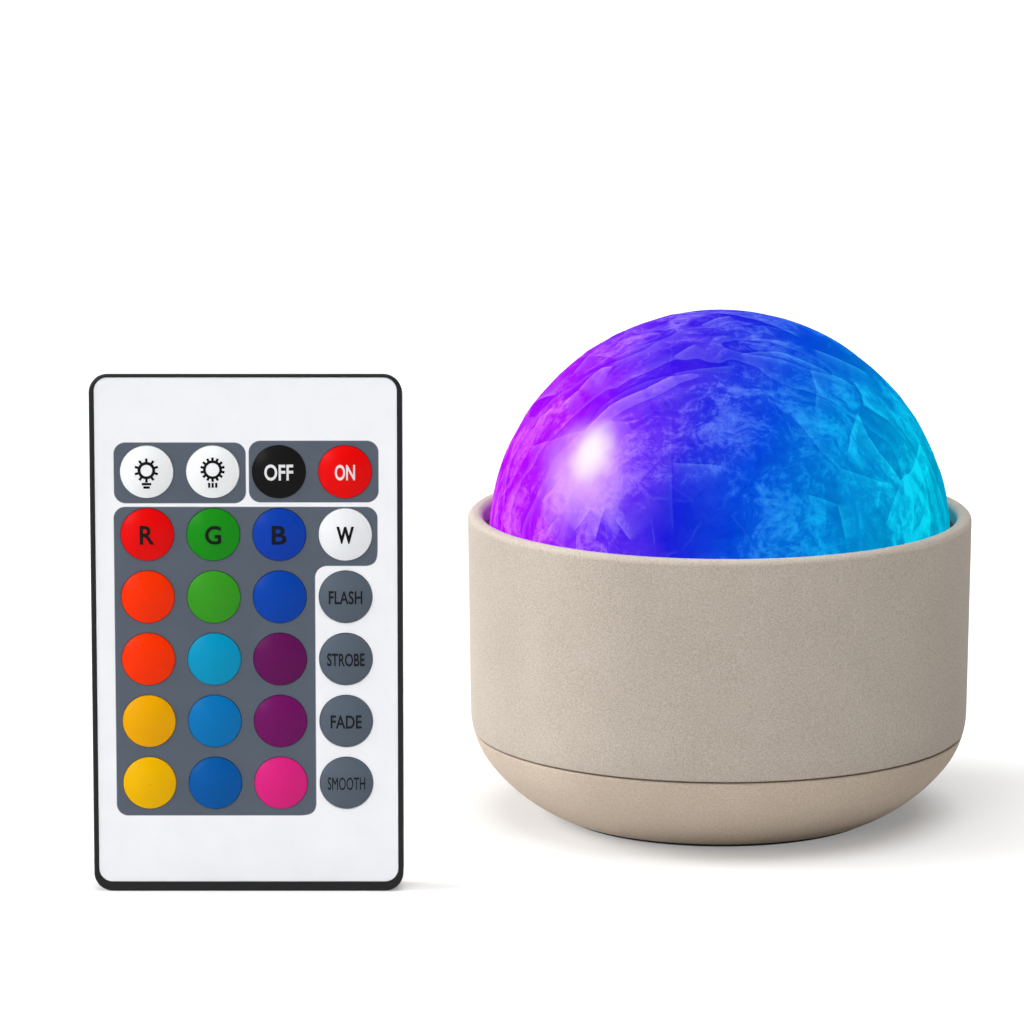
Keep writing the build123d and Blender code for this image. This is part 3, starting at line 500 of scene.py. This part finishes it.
# %% Press the skin in and keep the dome
for vert, inwards, shine in zip(skin, depth, np.clip(light, -1, 1)):
    vert.co -= (vert.co - dome_centre).normalized() * inwards * MM
    vert[light_layer] = shine
for face in shell.faces:
    face.smooth = True
dome_mesh = bpy.data.meshes.new("crumpled_dome")
shell.to_mesh(dome_mesh)
shell.free()
dome = bpy.data.objects.new("crumpled_dome", dome_mesh)
scene.collection.objects.link(dome)
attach(dome, "base")
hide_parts("outer_dome")
print("dome:", len(dome_mesh.polygons), "faces")

# %% [markdown]
# ## The dome's glow
#
# The lamps inside shine magenta to the left and cyan to the right, and the milky plastic mixes them to blue
# between. That light is painted on the film as its own glow, so every colour of the dome below is painted
# light. The colour therefore runs along X. Towards the top the run is squeezed and comes a little later,
# because the lamps stand low. Three ramps hold the same run as a deep, a middle and a pale tone of that
# painted light, and everything after this only chooses between them.

# %% Colours along the dome
glow, tree, shader, place = new_finish("acrylic_milky_lit_from_inside")
apart = add(tree, "ShaderNodeSeparateXYZ", {"Vector": place})
squeeze = add(tree, "ShaderNodeMapRange", {"Value": apart.outputs["Z"], "From Min": 75 * MM,
                                           "From Max": 91 * MM, "To Min": 1.0, "To Max": 0.65})
drift = add(tree, "ShaderNodeTexNoise", {"Vector": place, "Scale": 1 / (16 * MM), "Detail": 2.0})
drift = add(tree, "ShaderNodeMapRange", {"Value": drift.outputs["Fac"], "To Min": 0.36, "To Max": 0.48})
late = add(tree, "ShaderNodeMapRange", {"Value": apart.outputs["Z"], "From Min": 57 * MM,
                                        "From Max": 91 * MM, "To Min": 0.07, "To Max": -0.05})
late = add(tree, "ShaderNodeMath", {0: late.outputs["Result"], 1: drift.outputs["Result"]})
run = add(tree, "ShaderNodeMapRange", {"Value": apart.outputs["X"], "From Min": -dome_radius,
                                       "From Max": dome_radius, "To Min": -0.42, "To Max": 0.58})
run = add(tree, "ShaderNodeMath", {0: run.outputs["Result"], 1: squeeze.outputs["Result"],
                                   2: late.outputs["Value"]}, operation="MULTIPLY_ADD")
RUN_STOPS = (0.0, 1.0, 0.2, 0.33, 0.45, 0.58, 0.74)
DEEP_TONES = ("B200F0", "0190B6", "9208F6", "4A14E6", "1416D0", "0438CA", "0164BE")
MIDDLE_TONES = ("DA08FA", "02B4DA", "BE2EFC", "7E3CF4", "3A3EE6", "0C58E2", "0384DE")
PALE_TONES = ("EC58FC", "08DCF2", "DC88FE", "B08AFA", "7684F2", "4290F4", "18B8F4")
deep, middle, pale = (
    add(tree, "ShaderNodeValToRGB", {"Fac": run.outputs["Value"]}, list(zip(RUN_STOPS, tones)))
    for tones in (DEEP_TONES, MIDDLE_TONES, PALE_TONES))
print("nodes for the colours:", len(tree.nodes))

# %% [markdown]
# Between the long folds the film is wrinkled finely and slightly cloudy. A noise of many layers gives the
# smoke in the middle. Towards the edge the wrinkles lie along the dome's outline, so a second noise is laid
# in rings about the Y axis and drawn out along them. The edges of large cells give a few thin creases,
# drawn as painted highlights: pale lines in the glow. All of them use a place that is pushed about a
# little, so that no line is straight for long.

# %% Smoke
push = add(tree, "ShaderNodeTexNoise", {"Vector": place, "Scale": 1 / (9 * MM), "Detail": 2.0})
push = add(tree, "ShaderNodeVectorMath", {0: push.outputs["Color"], 1: (0.5, 0.5, 0.5)},
           operation="SUBTRACT")
push = add(tree, "ShaderNodeVectorMath", {0: push.outputs["Vector"], "Scale": 8 * MM}, operation="SCALE")
pushed = add(tree, "ShaderNodeVectorMath", {0: place, 1: push.outputs["Vector"]})
smoke = add(tree, "ShaderNodeTexNoise", {"Vector": pushed.outputs["Vector"], "Scale": 1 / (7 * MM),
                                         "Detail": 9.0, "Roughness": 0.66, "Distortion": 0.5})
smoke = add(tree, "ShaderNodeMapRange", {"Value": smoke.outputs["Fac"], "From Min": 0.34, "From Max": 0.68})
print("nodes with the smoke:", len(tree.nodes))


# %% Wrinkles along the outline
def in_rings(point, width_mm, per_turn, depth_mm):
    """A place laid in rings about the Y axis, and its distance from that axis in metres."""
    step = add(tree, "ShaderNodeVectorMath", {0: point, 1: dome_centre}, operation="SUBTRACT")
    step = add(tree, "ShaderNodeSeparateXYZ", {"Vector": step.outputs["Vector"]}).outputs
    flat = add(tree, "ShaderNodeCombineXYZ", {"X": step["X"], "Z": step["Z"]})
    across = add(tree, "ShaderNodeVectorMath", {0: flat.outputs["Vector"]}, operation="LENGTH").outputs
    around = add(tree, "ShaderNodeMath", {0: step["Z"], 1: step["X"]}, operation="ARCTAN2").outputs
    rings = add(tree, "ShaderNodeCombineXYZ", {"X": across["Value"], "Y": around["Value"], "Z": step["Y"]})
    size = (1 / (width_mm * MM), per_turn, 1 / (depth_mm * MM))
    rings = add(tree, "ShaderNodeVectorMath", {0: rings.outputs["Vector"], 1: size}, operation="MULTIPLY")
    return rings.outputs["Vector"], across["Value"]


rings, across = in_rings(pushed.outputs["Vector"], width_mm=2.2, per_turn=2.6, depth_mm=8)
streaks = add(tree, "ShaderNodeTexNoise", {"Vector": rings, "Scale": 1.0, "Detail": 6.0,
                                           "Roughness": 0.62, "Distortion": 0.6})
streaks = add(tree, "ShaderNodeMapRange", {"Value": streaks.outputs["Fac"], "From Min": 0.36,
                                           "From Max": 0.66})
outer = add(tree, "ShaderNodeMapRange", {"Value": across, "From Min": 18 * MM,
                                         "From Max": 34 * MM}, interpolation_type="SMOOTHSTEP")
fine = add(tree, "ShaderNodeMix", {0: outer.outputs["Result"], 2: smoke.outputs["Result"],
                                   3: streaks.outputs["Result"]})
print("nodes with the wrinkles:", len(tree.nodes))

# %% Creases
# The creases are painted highlights: thin pale lines in the glow.
bent = add(tree, "ShaderNodeVectorMath", {0: push.outputs["Vector"], "Scale": 0.3}, operation="SCALE")
bent = add(tree, "ShaderNodeVectorMath", {0: place, 1: bent.outputs["Vector"]})
creases = add(tree, "ShaderNodeTexVoronoi", {"Vector": bent.outputs["Vector"], "Scale": 1 / (9 * MM)},
              feature="DISTANCE_TO_EDGE")
creases = add(tree, "ShaderNodeMapRange", {"Value": creases.outputs["Distance"], "From Min": 0.035,
                                           "From Max": 0.0})
patches = add(tree, "ShaderNodeTexNoise", {"Vector": place, "Scale": 1 / (4 * MM), "Detail": 3.0})
patches = add(tree, "ShaderNodeMapRange", {"Value": patches.outputs["Fac"], "From Min": 0.45,
                                           "From Max": 0.65, "To Min": 0.0, "To Max": 0.12})
creases = add(tree, "ShaderNodeMath", {0: creases.outputs["Result"], 1: patches.outputs["Result"]},
              operation="MULTIPLY")
print("nodes with the creases:", len(tree.nodes))

# %% [markdown]
# Along the outline the film also lies in many small folds. A contour line of a coarse noise, laid in wider
# rings, makes one: painted light just above the line and painted shade just below it, and both fade away
# from it.

# %% Small folds along the outline
FOLD_FADE = 0.07
calm_rings, calm_across = in_rings(bent.outputs["Vector"], width_mm=5.0, per_turn=1.1, depth_mm=22)
near_rim = add(tree, "ShaderNodeMapRange", {"Value": calm_across, "From Min": 24 * MM, "From Max": 36 * MM},
               interpolation_type="SMOOTHSTEP")
contour = add(tree, "ShaderNodeTexNoise", {"Vector": calm_rings, "Scale": 1.0, "Detail": 1.0,
                                           "Roughness": 0.4})
contour = add(tree, "ShaderNodeMath", {0: contour.outputs["Fac"], 1: 0.5}, operation="SUBTRACT")
upper = add(tree, "ShaderNodeMath", {0: contour.outputs["Value"], 1: 0.0}, operation="GREATER_THAN")
upper = add(tree, "ShaderNodeMath", {0: upper.outputs["Value"], 1: near_rim.outputs["Result"]},
            operation="MULTIPLY")
rim_lit = add(tree, "ShaderNodeMapRange", {"Value": contour.outputs["Value"], "From Max": FOLD_FADE,
                                           "To Min": 0.2, "To Max": 0.0})
rim_lit = add(tree, "ShaderNodeMath", {0: rim_lit.outputs["Result"], 1: upper.outputs["Value"]},
              operation="MULTIPLY")
lower = add(tree, "ShaderNodeMath", {0: near_rim.outputs["Result"], 1: upper.outputs["Value"]},
            operation="SUBTRACT")
rim_dark = add(tree, "ShaderNodeMapRange", {"Value": contour.outputs["Value"], "From Max": -FOLD_FADE,
                                            "To Min": 0.5, "To Max": 0.0})
rim_dark = add(tree, "ShaderNodeMath", {0: rim_dark.outputs["Result"], 1: lower.outputs["Value"]},
               operation="MULTIPLY")
print("nodes with the small folds:", len(tree.nodes))

# %% [markdown]
# The share of pale glow, which is painted light, comes from the facets' painted light, the smoke and a last
# fine grain. The light isn't even either: it is dim between the lamps, low in the middle and high on the
# right, and strong next to the cyan lamp. Each such zone has a middle on the skin, a reach and a level, and
# the share is multiplied by that level. The folds come last, with painted light on one side and painted
# shade on the other.

# %% Facets, smoke and grain in the glow
facet = add(tree, "ShaderNodeAttribute", attribute_name="facet_painted_light")
tilt = add(tree, "ShaderNodeAttribute", attribute_name="facet_tilt")
fold = add(tree, "ShaderNodeAttribute", attribute_name="fold_light")
slope = add(tree, "ShaderNodeVectorMath", {0: place, 1: tilt.outputs["Vector"]}, operation="DOT_PRODUCT")
facet = add(tree, "ShaderNodeMath", {0: slope.outputs["Value"], 1: facet.outputs["Fac"]}, use_clamp=True)
grain = add(tree, "ShaderNodeTexNoise", {"Vector": pushed.outputs["Vector"], "Scale": 1 / (1.3 * MM),
                                         "Detail": 4.0, "Roughness": 0.7})
grain = add(tree, "ShaderNodeMapRange", {"Value": grain.outputs["Fac"], "From Min": 0.3, "From Max": 0.7,
                                         "To Min": -0.25, "To Max": 0.25})
share = add(tree, "ShaderNodeMix", {0: 0.7, 2: facet.outputs["Value"], 3: fine.outputs[0]})
share = add(tree, "ShaderNodeMath", {0: share.outputs[0], 1: grain.outputs["Result"]}, use_clamp=True)
print("nodes with the share of pale film:", len(tree.nodes))

# %% Zones of the light
LIT_ZONES = (((-8, -38.5, 58.5), 14, 0.2), ((19.6, -7.8, 84.9), 12, 0.3), ((33, -21, 58), 15, 1.8))
for spot, reach_mm, level in LIT_ZONES:
    far = add(tree, "ShaderNodeVectorMath", {0: pushed.outputs["Vector"], 1: Vector(spot) * MM},
              operation="DISTANCE")
    level = add(tree, "ShaderNodeMapRange", {"Value": far.outputs["Value"], "From Min": reach_mm * MM,
                                             "From Max": 2 * MM, "To Min": 1.0, "To Max": level},
                interpolation_type="SMOOTHSTEP")
    share = add(tree, "ShaderNodeMath", {0: share.outputs["Value"], 1: level.outputs["Result"]},
                operation="MULTIPLY", use_clamp=True)
body = add(tree, "ShaderNodeMix", {0: share.outputs["Value"], 6: deep.outputs["Color"],
                                   7: middle.outputs["Color"]}, data_type="RGBA")
print("zones:", len(LIT_ZONES))

# %% Folds over the glow
veil = add(tree, "ShaderNodeMapRange", {"Value": share.outputs["Value"], "From Min": 0.5, "From Max": 1.0,
                                        "To Min": 0.0, "To Max": 0.6})
lit = add(tree, "ShaderNodeMapRange", {"Value": fold.outputs["Fac"], "To Min": 0.0, "To Max": 0.65})
lit = add(tree, "ShaderNodeMath", {0: veil.outputs["Result"], 1: lit.outputs["Result"]})
lit = add(tree, "ShaderNodeMath", {0: lit.outputs["Value"], 1: rim_lit.outputs["Value"]})
lit = add(tree, "ShaderNodeMath", {0: lit.outputs["Value"], 1: creases.outputs["Value"]}, use_clamp=True)
body = add(tree, "ShaderNodeMix", {0: lit.outputs["Value"], 6: body.outputs[2], 7: pale.outputs["Color"]},
           data_type="RGBA")
dark = add(tree, "ShaderNodeMapRange", {"Value": fold.outputs["Fac"], "From Max": -0.6, "To Min": 0.0,
                                        "To Max": 0.8})
dark = add(tree, "ShaderNodeMath", {0: dark.outputs["Result"], 1: rim_dark.outputs["Value"]},
           use_clamp=True)
body = add(tree, "ShaderNodeMix", {0: dark.outputs["Value"], 6: body.outputs[2], 7: deep.outputs["Color"]},
           data_type="RGBA")
print("nodes with the folds:", len(tree.nodes))

# %% [markdown]
# One lamp stands close behind the film on the left. It burns a white spot, taller than wide, with a
# lilac haze round it. The haze takes the pushed place instead of the plain one, so its edge is cloudy.

# %% Hot spot of the nearest lamp
SPOT = (-22.9 * MM, -26.9 * MM, 70.6 * MM)
SPOT_SQUEEZE = (1.25, 1.0, 0.8)
HAZE = (-24.3 * MM, -27.6 * MM, 67.2 * MM)
step = add(tree, "ShaderNodeVectorMath", {0: place, 1: SPOT}, operation="SUBTRACT")
step = add(tree, "ShaderNodeVectorMath", {0: step.outputs["Vector"], 1: SPOT_SQUEEZE},
           operation="MULTIPLY")
shaken = add(tree, "ShaderNodeVectorMath", {0: push.outputs["Vector"], "Scale": 0.6}, operation="SCALE")
step = add(tree, "ShaderNodeVectorMath", {0: step.outputs["Vector"], 1: shaken.outputs["Vector"]})
near = add(tree, "ShaderNodeVectorMath", {0: step.outputs["Vector"]}, operation="LENGTH")
cloudy = add(tree, "ShaderNodeVectorMath", {0: pushed.outputs["Vector"], 1: HAZE}, operation="DISTANCE")
haze = add(tree, "ShaderNodeMapRange", {"Value": cloudy.outputs["Value"], "From Min": 13 * MM,
                                        "From Max": 2 * MM, "To Min": 0.0, "To Max": 0.75},
           interpolation_type="SMOOTHSTEP")
core = add(tree, "ShaderNodeMapRange", {"Value": near.outputs["Value"], "From Min": 7.0 * MM,
                                        "From Max": 0.0, "To Max": 0.96}, interpolation_type="SMOOTHERSTEP")
body = add(tree, "ShaderNodeMix", {0: haze.outputs["Result"], 6: body.outputs[2], 7: linear("E6B2FF")},
           data_type="RGBA")
body = add(tree, "ShaderNodeMix", {0: core.outputs["Result"], 6: body.outputs[2], 7: linear("FFF2FF")},
           data_type="RGBA")
print("nodes with the hot spot:", len(tree.nodes))

# %% Glow into the shader
# The glow is painted light: the lamps' light is given to the film as its own emission.
# The film itself is nearly black, so that the light of the room doesn't wash out its glow.
FILM_DARKNESS, FILM_BLACK = 0.95, (0.0, 0.0, 0.02, 1.0)
own = add(tree, "ShaderNodeMix", {0: FILM_DARKNESS, 6: body.outputs[2], 7: FILM_BLACK}, data_type="RGBA")
tree.links.new(own.outputs[2], shader.inputs["Base Color"])
tree.links.new(body.outputs[2], shader.inputs["Emission Color"])
shader.inputs["Emission Strength"].default_value = 1.0
shader.inputs["Roughness"].default_value = 0.4
shader.inputs["Specular IOR Level"].default_value = 0.0
shader.inputs["IOR"].default_value = 1.49
dome_mesh.materials.append(glow)
print("glow nodes:", len(tree.nodes))

# %% [markdown]
# ## The remote's case and printed plate
#
# The case is black ABS, a little glossy, so its rounded rim catches a thin line of light. The plate
# is white film with grey panels printed on it. The panels could be separate meshes, but ink has no
# thickness, so they are masks: the distance to a rounded box, worked out from the plate's own
# coordinates. A box with a second box taken out of it makes the panel with the inner corner.

# %% Case
dress(moulding("abs_moulded_black_case", "151616", rough=0.38, ripple_mm=0.4, shine=0.2), "remote_case")

# %% Printed plate
# Film under satin lacquer: an even white, and ink that has the same soft sheen as the white.
plate_low, plate_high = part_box("face_plate")
remote_x = (plate_low.x + plate_high.x) / 2 / MM
plate, tree, shader, place = new_finish("film_printed_satin")


def panel(left, right, low, high, corner):
    """Distance in metres to a rounded panel, given in millimetres from the remote's middle and foot."""
    middle = ((remote_x + (left + right) / 2) * MM, 0.0, (low + high) / 2 * MM)
    half = ((right - left) / 2 * MM - corner * MM, 1.0, (high - low) / 2 * MM - corner * MM)
    step = add(tree, "ShaderNodeVectorMath", {0: place, 1: middle}, operation="SUBTRACT")
    step = add(tree, "ShaderNodeVectorMath", {0: step.outputs["Vector"]}, operation="ABSOLUTE")
    step = add(tree, "ShaderNodeVectorMath", {0: step.outputs["Vector"], 1: half}, operation="SUBTRACT")
    step = add(tree, "ShaderNodeVectorMath", {0: step.outputs["Vector"], 1: (0, 0, 0)}, operation="MAXIMUM")
    step = add(tree, "ShaderNodeVectorMath", {0: step.outputs["Vector"]}, operation="LENGTH")
    step = add(tree, "ShaderNodeMath", {0: step.outputs["Value"], 1: corner * MM}, operation="SUBTRACT")
    return step.outputs["Value"]


whole = panel(-22.5, 22.3, 13.3, 67.1, 2.0)
notch = panel(11.7, 40.0, -20.0, 56.8, 2.0)
notch = add(tree, "ShaderNodeMath", {0: notch, 1: -1.0}, operation="MULTIPLY")
joined = add(tree, "ShaderNodeMath", {0: whole, 1: notch.outputs["Value"], 2: 3.6 * MM},
             operation="SMOOTH_MAX")
top_left = panel(-22.4, 0.0, 67.7, 78.2, 2.0)
top_right = panel(0.5, 22.5, 67.85, 78.5, 2.0)
top = add(tree, "ShaderNodeMath", {0: top_left, 1: top_right}, operation="MINIMUM")
ink = add(tree, "ShaderNodeMath", {0: joined.outputs["Value"], 1: top.outputs["Value"]},
          operation="MINIMUM")
ink = add(tree, "ShaderNodeMapRange", {"Value": ink.outputs["Value"], "From Min": 0.06 * MM,
                                       "From Max": -0.06 * MM})
mottle = add(tree, "ShaderNodeTexNoise", {"Vector": place, "Scale": 1 / (6 * MM), "Detail": 4.0})
white = add(tree, "ShaderNodeMix", {0: mottle.outputs["Fac"], 6: linear("EDEEF1"), 7: linear("F6F7FA")},
            data_type="RGBA")
grey = add(tree, "ShaderNodeMix", {0: mottle.outputs["Fac"], 6: linear("4E5763"), 7: linear("5A626F")},
           data_type="RGBA")
print_tone = add(tree, "ShaderNodeMix", {0: ink.outputs["Result"], 6: white.outputs[2], 7: grey.outputs[2]},
                 data_type="RGBA")
satin = add(tree, "ShaderNodeMapRange", {"Value": mottle.outputs["Fac"], "To Min": 0.34, "To Max": 0.46})
tree.links.new(print_tone.outputs[2], shader.inputs["Base Color"])
tree.links.new(satin.outputs["Result"], shader.inputs["Roughness"])
shader.inputs["IOR"].default_value = 1.5
shader.inputs["Specular IOR Level"].default_value = 0.15
dress(plate, "face_plate")

# %% [markdown]
# ## The keys
#
# The keys are moulded in their own colours, satin and domed, so each shows a soft light patch on its
# upper left. They keep their solids: only the colour differs from key to key. The ripple is the faint
# waviness that a moulded skin always has.

# %% Keys
KEY_COLOURS = {
    "brighter": "F2F4F5", "dimmer": "F2F4F5", "off": "0F0F0F", "on": "E60505",
    "red": "E30606", "green": "178A16", "blue": "0A3CA8", "white": "ECEEF1",
    "scarlet": "F53000", "leaf_green": "36951F", "royal_blue": "0540A6", "flash": "56606C",
    "vermilion": "F53300", "turquoise": "0391BC", "plum": "5F0E52", "strobe": "56606C",
    "amber": "E8A400", "sky_blue": "0570B2", "purple": "6C0F5C", "fade": "56606C",
    "yellow": "EAB200", "azure": "03559F", "pink": "D6237C", "smooth": "56606C",
}
for key, code in KEY_COLOURS.items():
    finish = moulding("abs_moulded_key_" + key, code, rough=0.3, ripple_mm=1.2, shade=0.93, shine=0.07)
    dress(finish, "key_" + key)

# %% [markdown]
# ## Signs on the keys
#
# The signs are printed: four letters, six words and two small suns. Type is a curve, so it is first
# made a mesh, cut finer, and then laid over the key's crown, a fortieth of a millimetre proud. Cutting
# matters, because a long stroke of a letter would otherwise bridge the crown like a stiff card.

# %% Lay a flat sign over a key
# Printed ink dries to a thin dull coat. Each tone has its colour and the slot of the record that it takes.
SIGN_PROUD, KEY_CROWN, LONG_EDGE = 0.025 * MM, 0.75 * MM, 0.5 * MM
INKS = {"black": ("0A0A0B", "dark_plastic"), "white": ("E4E4E8", "plate_white"),
        "dark_grey": ("16191D", "dark_plastic")}
inks = {tone: moulding("ink_printed_" + tone, code, rough=0.5, ripple_mm=0.4, shine=0.1)
        for tone, (code, _) in INKS.items()}


def lay_on_key(key, sign, tone):
    """Wraps a flat sign, drawn in X and Y around zero, over the crown of a key and lets it ride there."""
    low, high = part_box("key_" + key)
    middle = (low + high) / 2
    foot = (high.z - low.z) / 2
    ball = (foot ** 2 + KEY_CROWN ** 2) / (2 * KEY_CROWN)
    for _ in range(3):
        long_edges = [e for e in sign.edges if e.calc_length() > LONG_EDGE]
        if long_edges:
            bmesh.ops.subdivide_edges(sign, edges=long_edges, cuts=1)
    bmesh.ops.triangulate(sign, faces=sign.faces[:])
    for vert in sign.verts:
        across, up, thick = vert.co
        sink = ball - math.sqrt(max(ball ** 2 - across ** 2 - up ** 2, 0.0))
        vert.co = (middle.x + across, low.y + sink - thick, middle.z + up)
    bmesh.ops.recalc_face_normals(sign, faces=sign.faces[:])
    mesh = bpy.data.meshes.new("sign_" + key)
    sign.to_mesh(mesh)
    sign.free()
    mesh.materials.append(inks[tone])
    piece = bpy.data.objects.new("sign_" + key, mesh)
    scene.collection.objects.link(piece)
    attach(piece, "key_" + key)
    print(piece.name, len(mesh.polygons), "faces")


# %% Letters and words
def word_sign(words, width_mm, height_mm, stroke):
    """Type of the given outer size as a flat closed mesh around zero."""
    curve = bpy.data.curves.new("sign_type", "FONT")
    curve.body = words
    curve.extrude = 1.0
    curve.offset = stroke
    curve.resolution_u = 4
    type_object = bpy.data.objects.new("sign_type", curve)
    scene.collection.objects.link(type_object)
    mesh = bpy.data.meshes.new_from_object(type_object)
    bpy.data.objects.remove(type_object)
    sign = bmesh.new()
    sign.from_mesh(mesh)
    bpy.data.meshes.remove(mesh)
    bmesh.ops.remove_doubles(sign, verts=sign.verts[:], dist=1e-5)
    xs = [v.co.x for v in sign.verts]
    ys = [v.co.y for v in sign.verts]
    shift = Vector((-(min(xs) + max(xs)) / 2, -(min(ys) + max(ys)) / 2, 0))
    size = Vector((width_mm * MM / (max(xs) - min(xs)), height_mm * MM / (max(ys) - min(ys)), SIGN_PROUD))
    bmesh.ops.translate(sign, verts=sign.verts[:], vec=shift)
    bmesh.ops.scale(sign, verts=sign.verts[:], vec=size)
    return sign


for key, words, width, height, stroke, tone in (
    ("off", "OFF", 4.9, 2.8, 0.02, "white"), ("on", "ON", 3.4, 2.7, 0.02, "white"),
    ("red", "R", 2.5, 3.25, 0.02, "black"), ("green", "G", 2.75, 3.25, 0.02, "black"),
    ("blue", "B", 2.5, 3.25, 0.02, "black"), ("white", "W", 3.0, 2.95, 0.04, "black"),
    ("flash", "FLASH", 5.7, 2.3, 0.015, "dark_grey"), ("strobe", "STROBE", 6.4, 2.25, 0.015, "dark_grey"),
    ("fade", "FADE", 5.3, 2.3, 0.015, "dark_grey"), ("smooth", "SMOOTH", 6.4, 2.2, 0.0, "dark_grey"),
):
    lay_on_key(key, word_sign(words, width, height, stroke), tone)

# %% [markdown]
# The brightness keys carry a small sun each: a ring with short rays, above bars that tell brighter from
# dimmer. The ring starts as a filled circle whose face is inset, and the rays are small blocks turned
# round its middle.

# %% Suns
RAY_WIDTH, RAY_OVERLAP = 0.4, 0.1


def bar(sign, width_mm, height_mm, x_mm, y_mm, turn):
    """Adds one flat block to a sign, placed in millimetres and then turned about the sign's middle."""
    made = bmesh.ops.create_cube(sign, size=1.0)["verts"]
    bmesh.ops.scale(sign, verts=made, vec=(width_mm * MM, height_mm * MM, 2 * SIGN_PROUD))
    bmesh.ops.translate(sign, verts=made, vec=(x_mm * MM, y_mm * MM, 0))
    bmesh.ops.rotate(sign, verts=made, matrix=Matrix.Rotation(turn, 3, "Z"))


def sun_sign(ring_mm, stroke_mm, rays, ray_mm, lift_mm):
    """A ring with rays as a flat closed mesh, lifted from the key's middle."""
    sign = bmesh.new()
    bmesh.ops.create_circle(sign, cap_ends=True, segments=32, radius=ring_mm * MM)
    disc = sign.faces[:]
    bmesh.ops.inset_region(sign, faces=disc, thickness=stroke_mm * MM, use_boundary=True)
    bmesh.ops.delete(sign, geom=disc, context="FACES_ONLY")
    top = bmesh.ops.extrude_face_region(sign, geom=sign.faces[:])["geom"]
    bmesh.ops.translate(sign, verts=[p for p in top if isinstance(p, bmesh.types.BMVert)],
                        vec=(0, 0, 2 * SIGN_PROUD))
    bmesh.ops.translate(sign, verts=sign.verts[:], vec=(0, 0, -SIGN_PROUD))
    for ray in range(rays):
        turn = 2 * math.pi * ray / rays
        bar(sign, RAY_WIDTH, ray_mm + RAY_OVERLAP, 0, ring_mm + ray_mm / 2, turn)
    bmesh.ops.translate(sign, verts=sign.verts[:], vec=(0, lift_mm * MM, 0))
    return sign


bright = sun_sign(1.5, 0.5, 10, 0.5, 0.35)
bar(bright, 1.6, 0.4, 0, -2.0, 0)
bar(bright, 1.1, 0.4, 0, -2.6, 0)
lay_on_key("brighter", bright, "black")
dim_sun = sun_sign(1.6, 0.45, 14, 0.42, 0.5)
for place_x in (-0.6, 0.0, 0.6):
    bar(dim_sun, 0.36, 0.85, place_x, -2.2, 0)
lay_on_key("dimmer", dim_sun, "black")

# %% [markdown]
# ## Floor, light and world
#
# The picture has a white ground, and its light comes from the left, so the base is bright on its left
# and darker towards the right, with only a faint shadow. Sun lamps with wide angles stand for big
# softboxes: at the left, high in front and above. A small low one gives the keys their sheen and lights
# the bowl from below. The world fills in from all sides. The floor is matt paper: a pale surface that
# also shows some white of its own to the camera, so it reads as white while the shadow stays on it.

# %% Floor
FLOOR_HALF_SIDE, FLOOR_DROP = 6.0, 0.02 * MM
ground = bmesh.new()
bmesh.ops.create_grid(ground, x_segments=1, y_segments=1, size=FLOOR_HALF_SIDE)
bmesh.ops.translate(ground, verts=ground.verts[:], vec=(0, 0, -FLOOR_DROP))
floor_mesh = bpy.data.meshes.new("floor")
ground.to_mesh(floor_mesh)
ground.free()
floor = bpy.data.objects.new("floor", floor_mesh)
scene.collection.objects.link(floor)
print("floor:", 2 * FLOOR_HALF_SIDE, "m wide")


# %% White of the floor
def seeing_rays(tree):
    """One for a ray of the camera, a mirror or glass, which sees the background, and zero for others."""
    rays = add(tree, "ShaderNodeLightPath").outputs
    seen = add(tree, "ShaderNodeMath", {0: rays["Is Camera Ray"], 1: rays["Is Glossy Ray"]},
               operation="MAXIMUM")
    seen = add(tree, "ShaderNodeMath", {0: seen.outputs["Value"], 1: rays["Is Transmission Ray"]},
               operation="MAXIMUM")
    return seen.outputs["Value"]


OWN_WHITE = 0.24
paper, tree, shader = new_finish("paper_white_matt")[:3]
white = add(tree, "ShaderNodeMath", {0: seeing_rays(tree), 1: OWN_WHITE}, operation="MULTIPLY")
shader.inputs["Base Color"].default_value = linear("D8D8D8")
shader.inputs["Roughness"].default_value = 1.0
shader.inputs["Specular IOR Level"].default_value = 0.0
shader.inputs["Emission Color"].default_value = (1.0, 1.0, 1.0, 1.0)
tree.links.new(white.outputs["Value"], shader.inputs["Emission Strength"])
floor_mesh.materials.append(paper)
print(paper.name, "with", OWN_WHITE, "of its own white")

# %% Lamps
# Each softbox has the direction that it stands in, its energy and its width in degrees.
SOFTBOXES = (
    ("softbox_left", (-0.9, 0.02, 0.42), 3.7, 45),
    ("softbox_front", (-0.24, -0.6, 0.766), 0.5, 50),
    ("softbox_above", (0.1, -0.05, 0.99), 2.5, 60),
    ("softbox_low", (-0.5, -0.83, 0.24), 0.65, 15),
)
for name, towards, energy, width in SOFTBOXES:
    lamp = bpy.data.lights.new(name, "SUN")
    lamp.energy = energy
    lamp.angle = math.radians(width)
    softbox = bpy.data.objects.new(name, lamp)
    softbox.rotation_euler = Vector(towards).to_track_quat("Z", "Y").to_euler()
    scene.collection.objects.link(softbox)
    print(name, "energy", energy, "from", towards)

# %% World
FILL_LIGHT, SEEN_WHITE = 0.05, 1.0
world = bpy.data.worlds.new("studio")
scene.world = world
world.use_nodes = True
tree = world.node_tree
level = add(tree, "ShaderNodeMapRange", {"Value": seeing_rays(tree), "To Min": FILL_LIGHT,
                                         "To Max": SEEN_WHITE})
tree.links.new(level.outputs["Result"], tree.nodes["Background"].inputs["Strength"])
tree.nodes["Background"].inputs["Color"].default_value = (1.0, 1.0, 1.0, 1.0)
print("fill light of the world:", FILL_LIGHT)
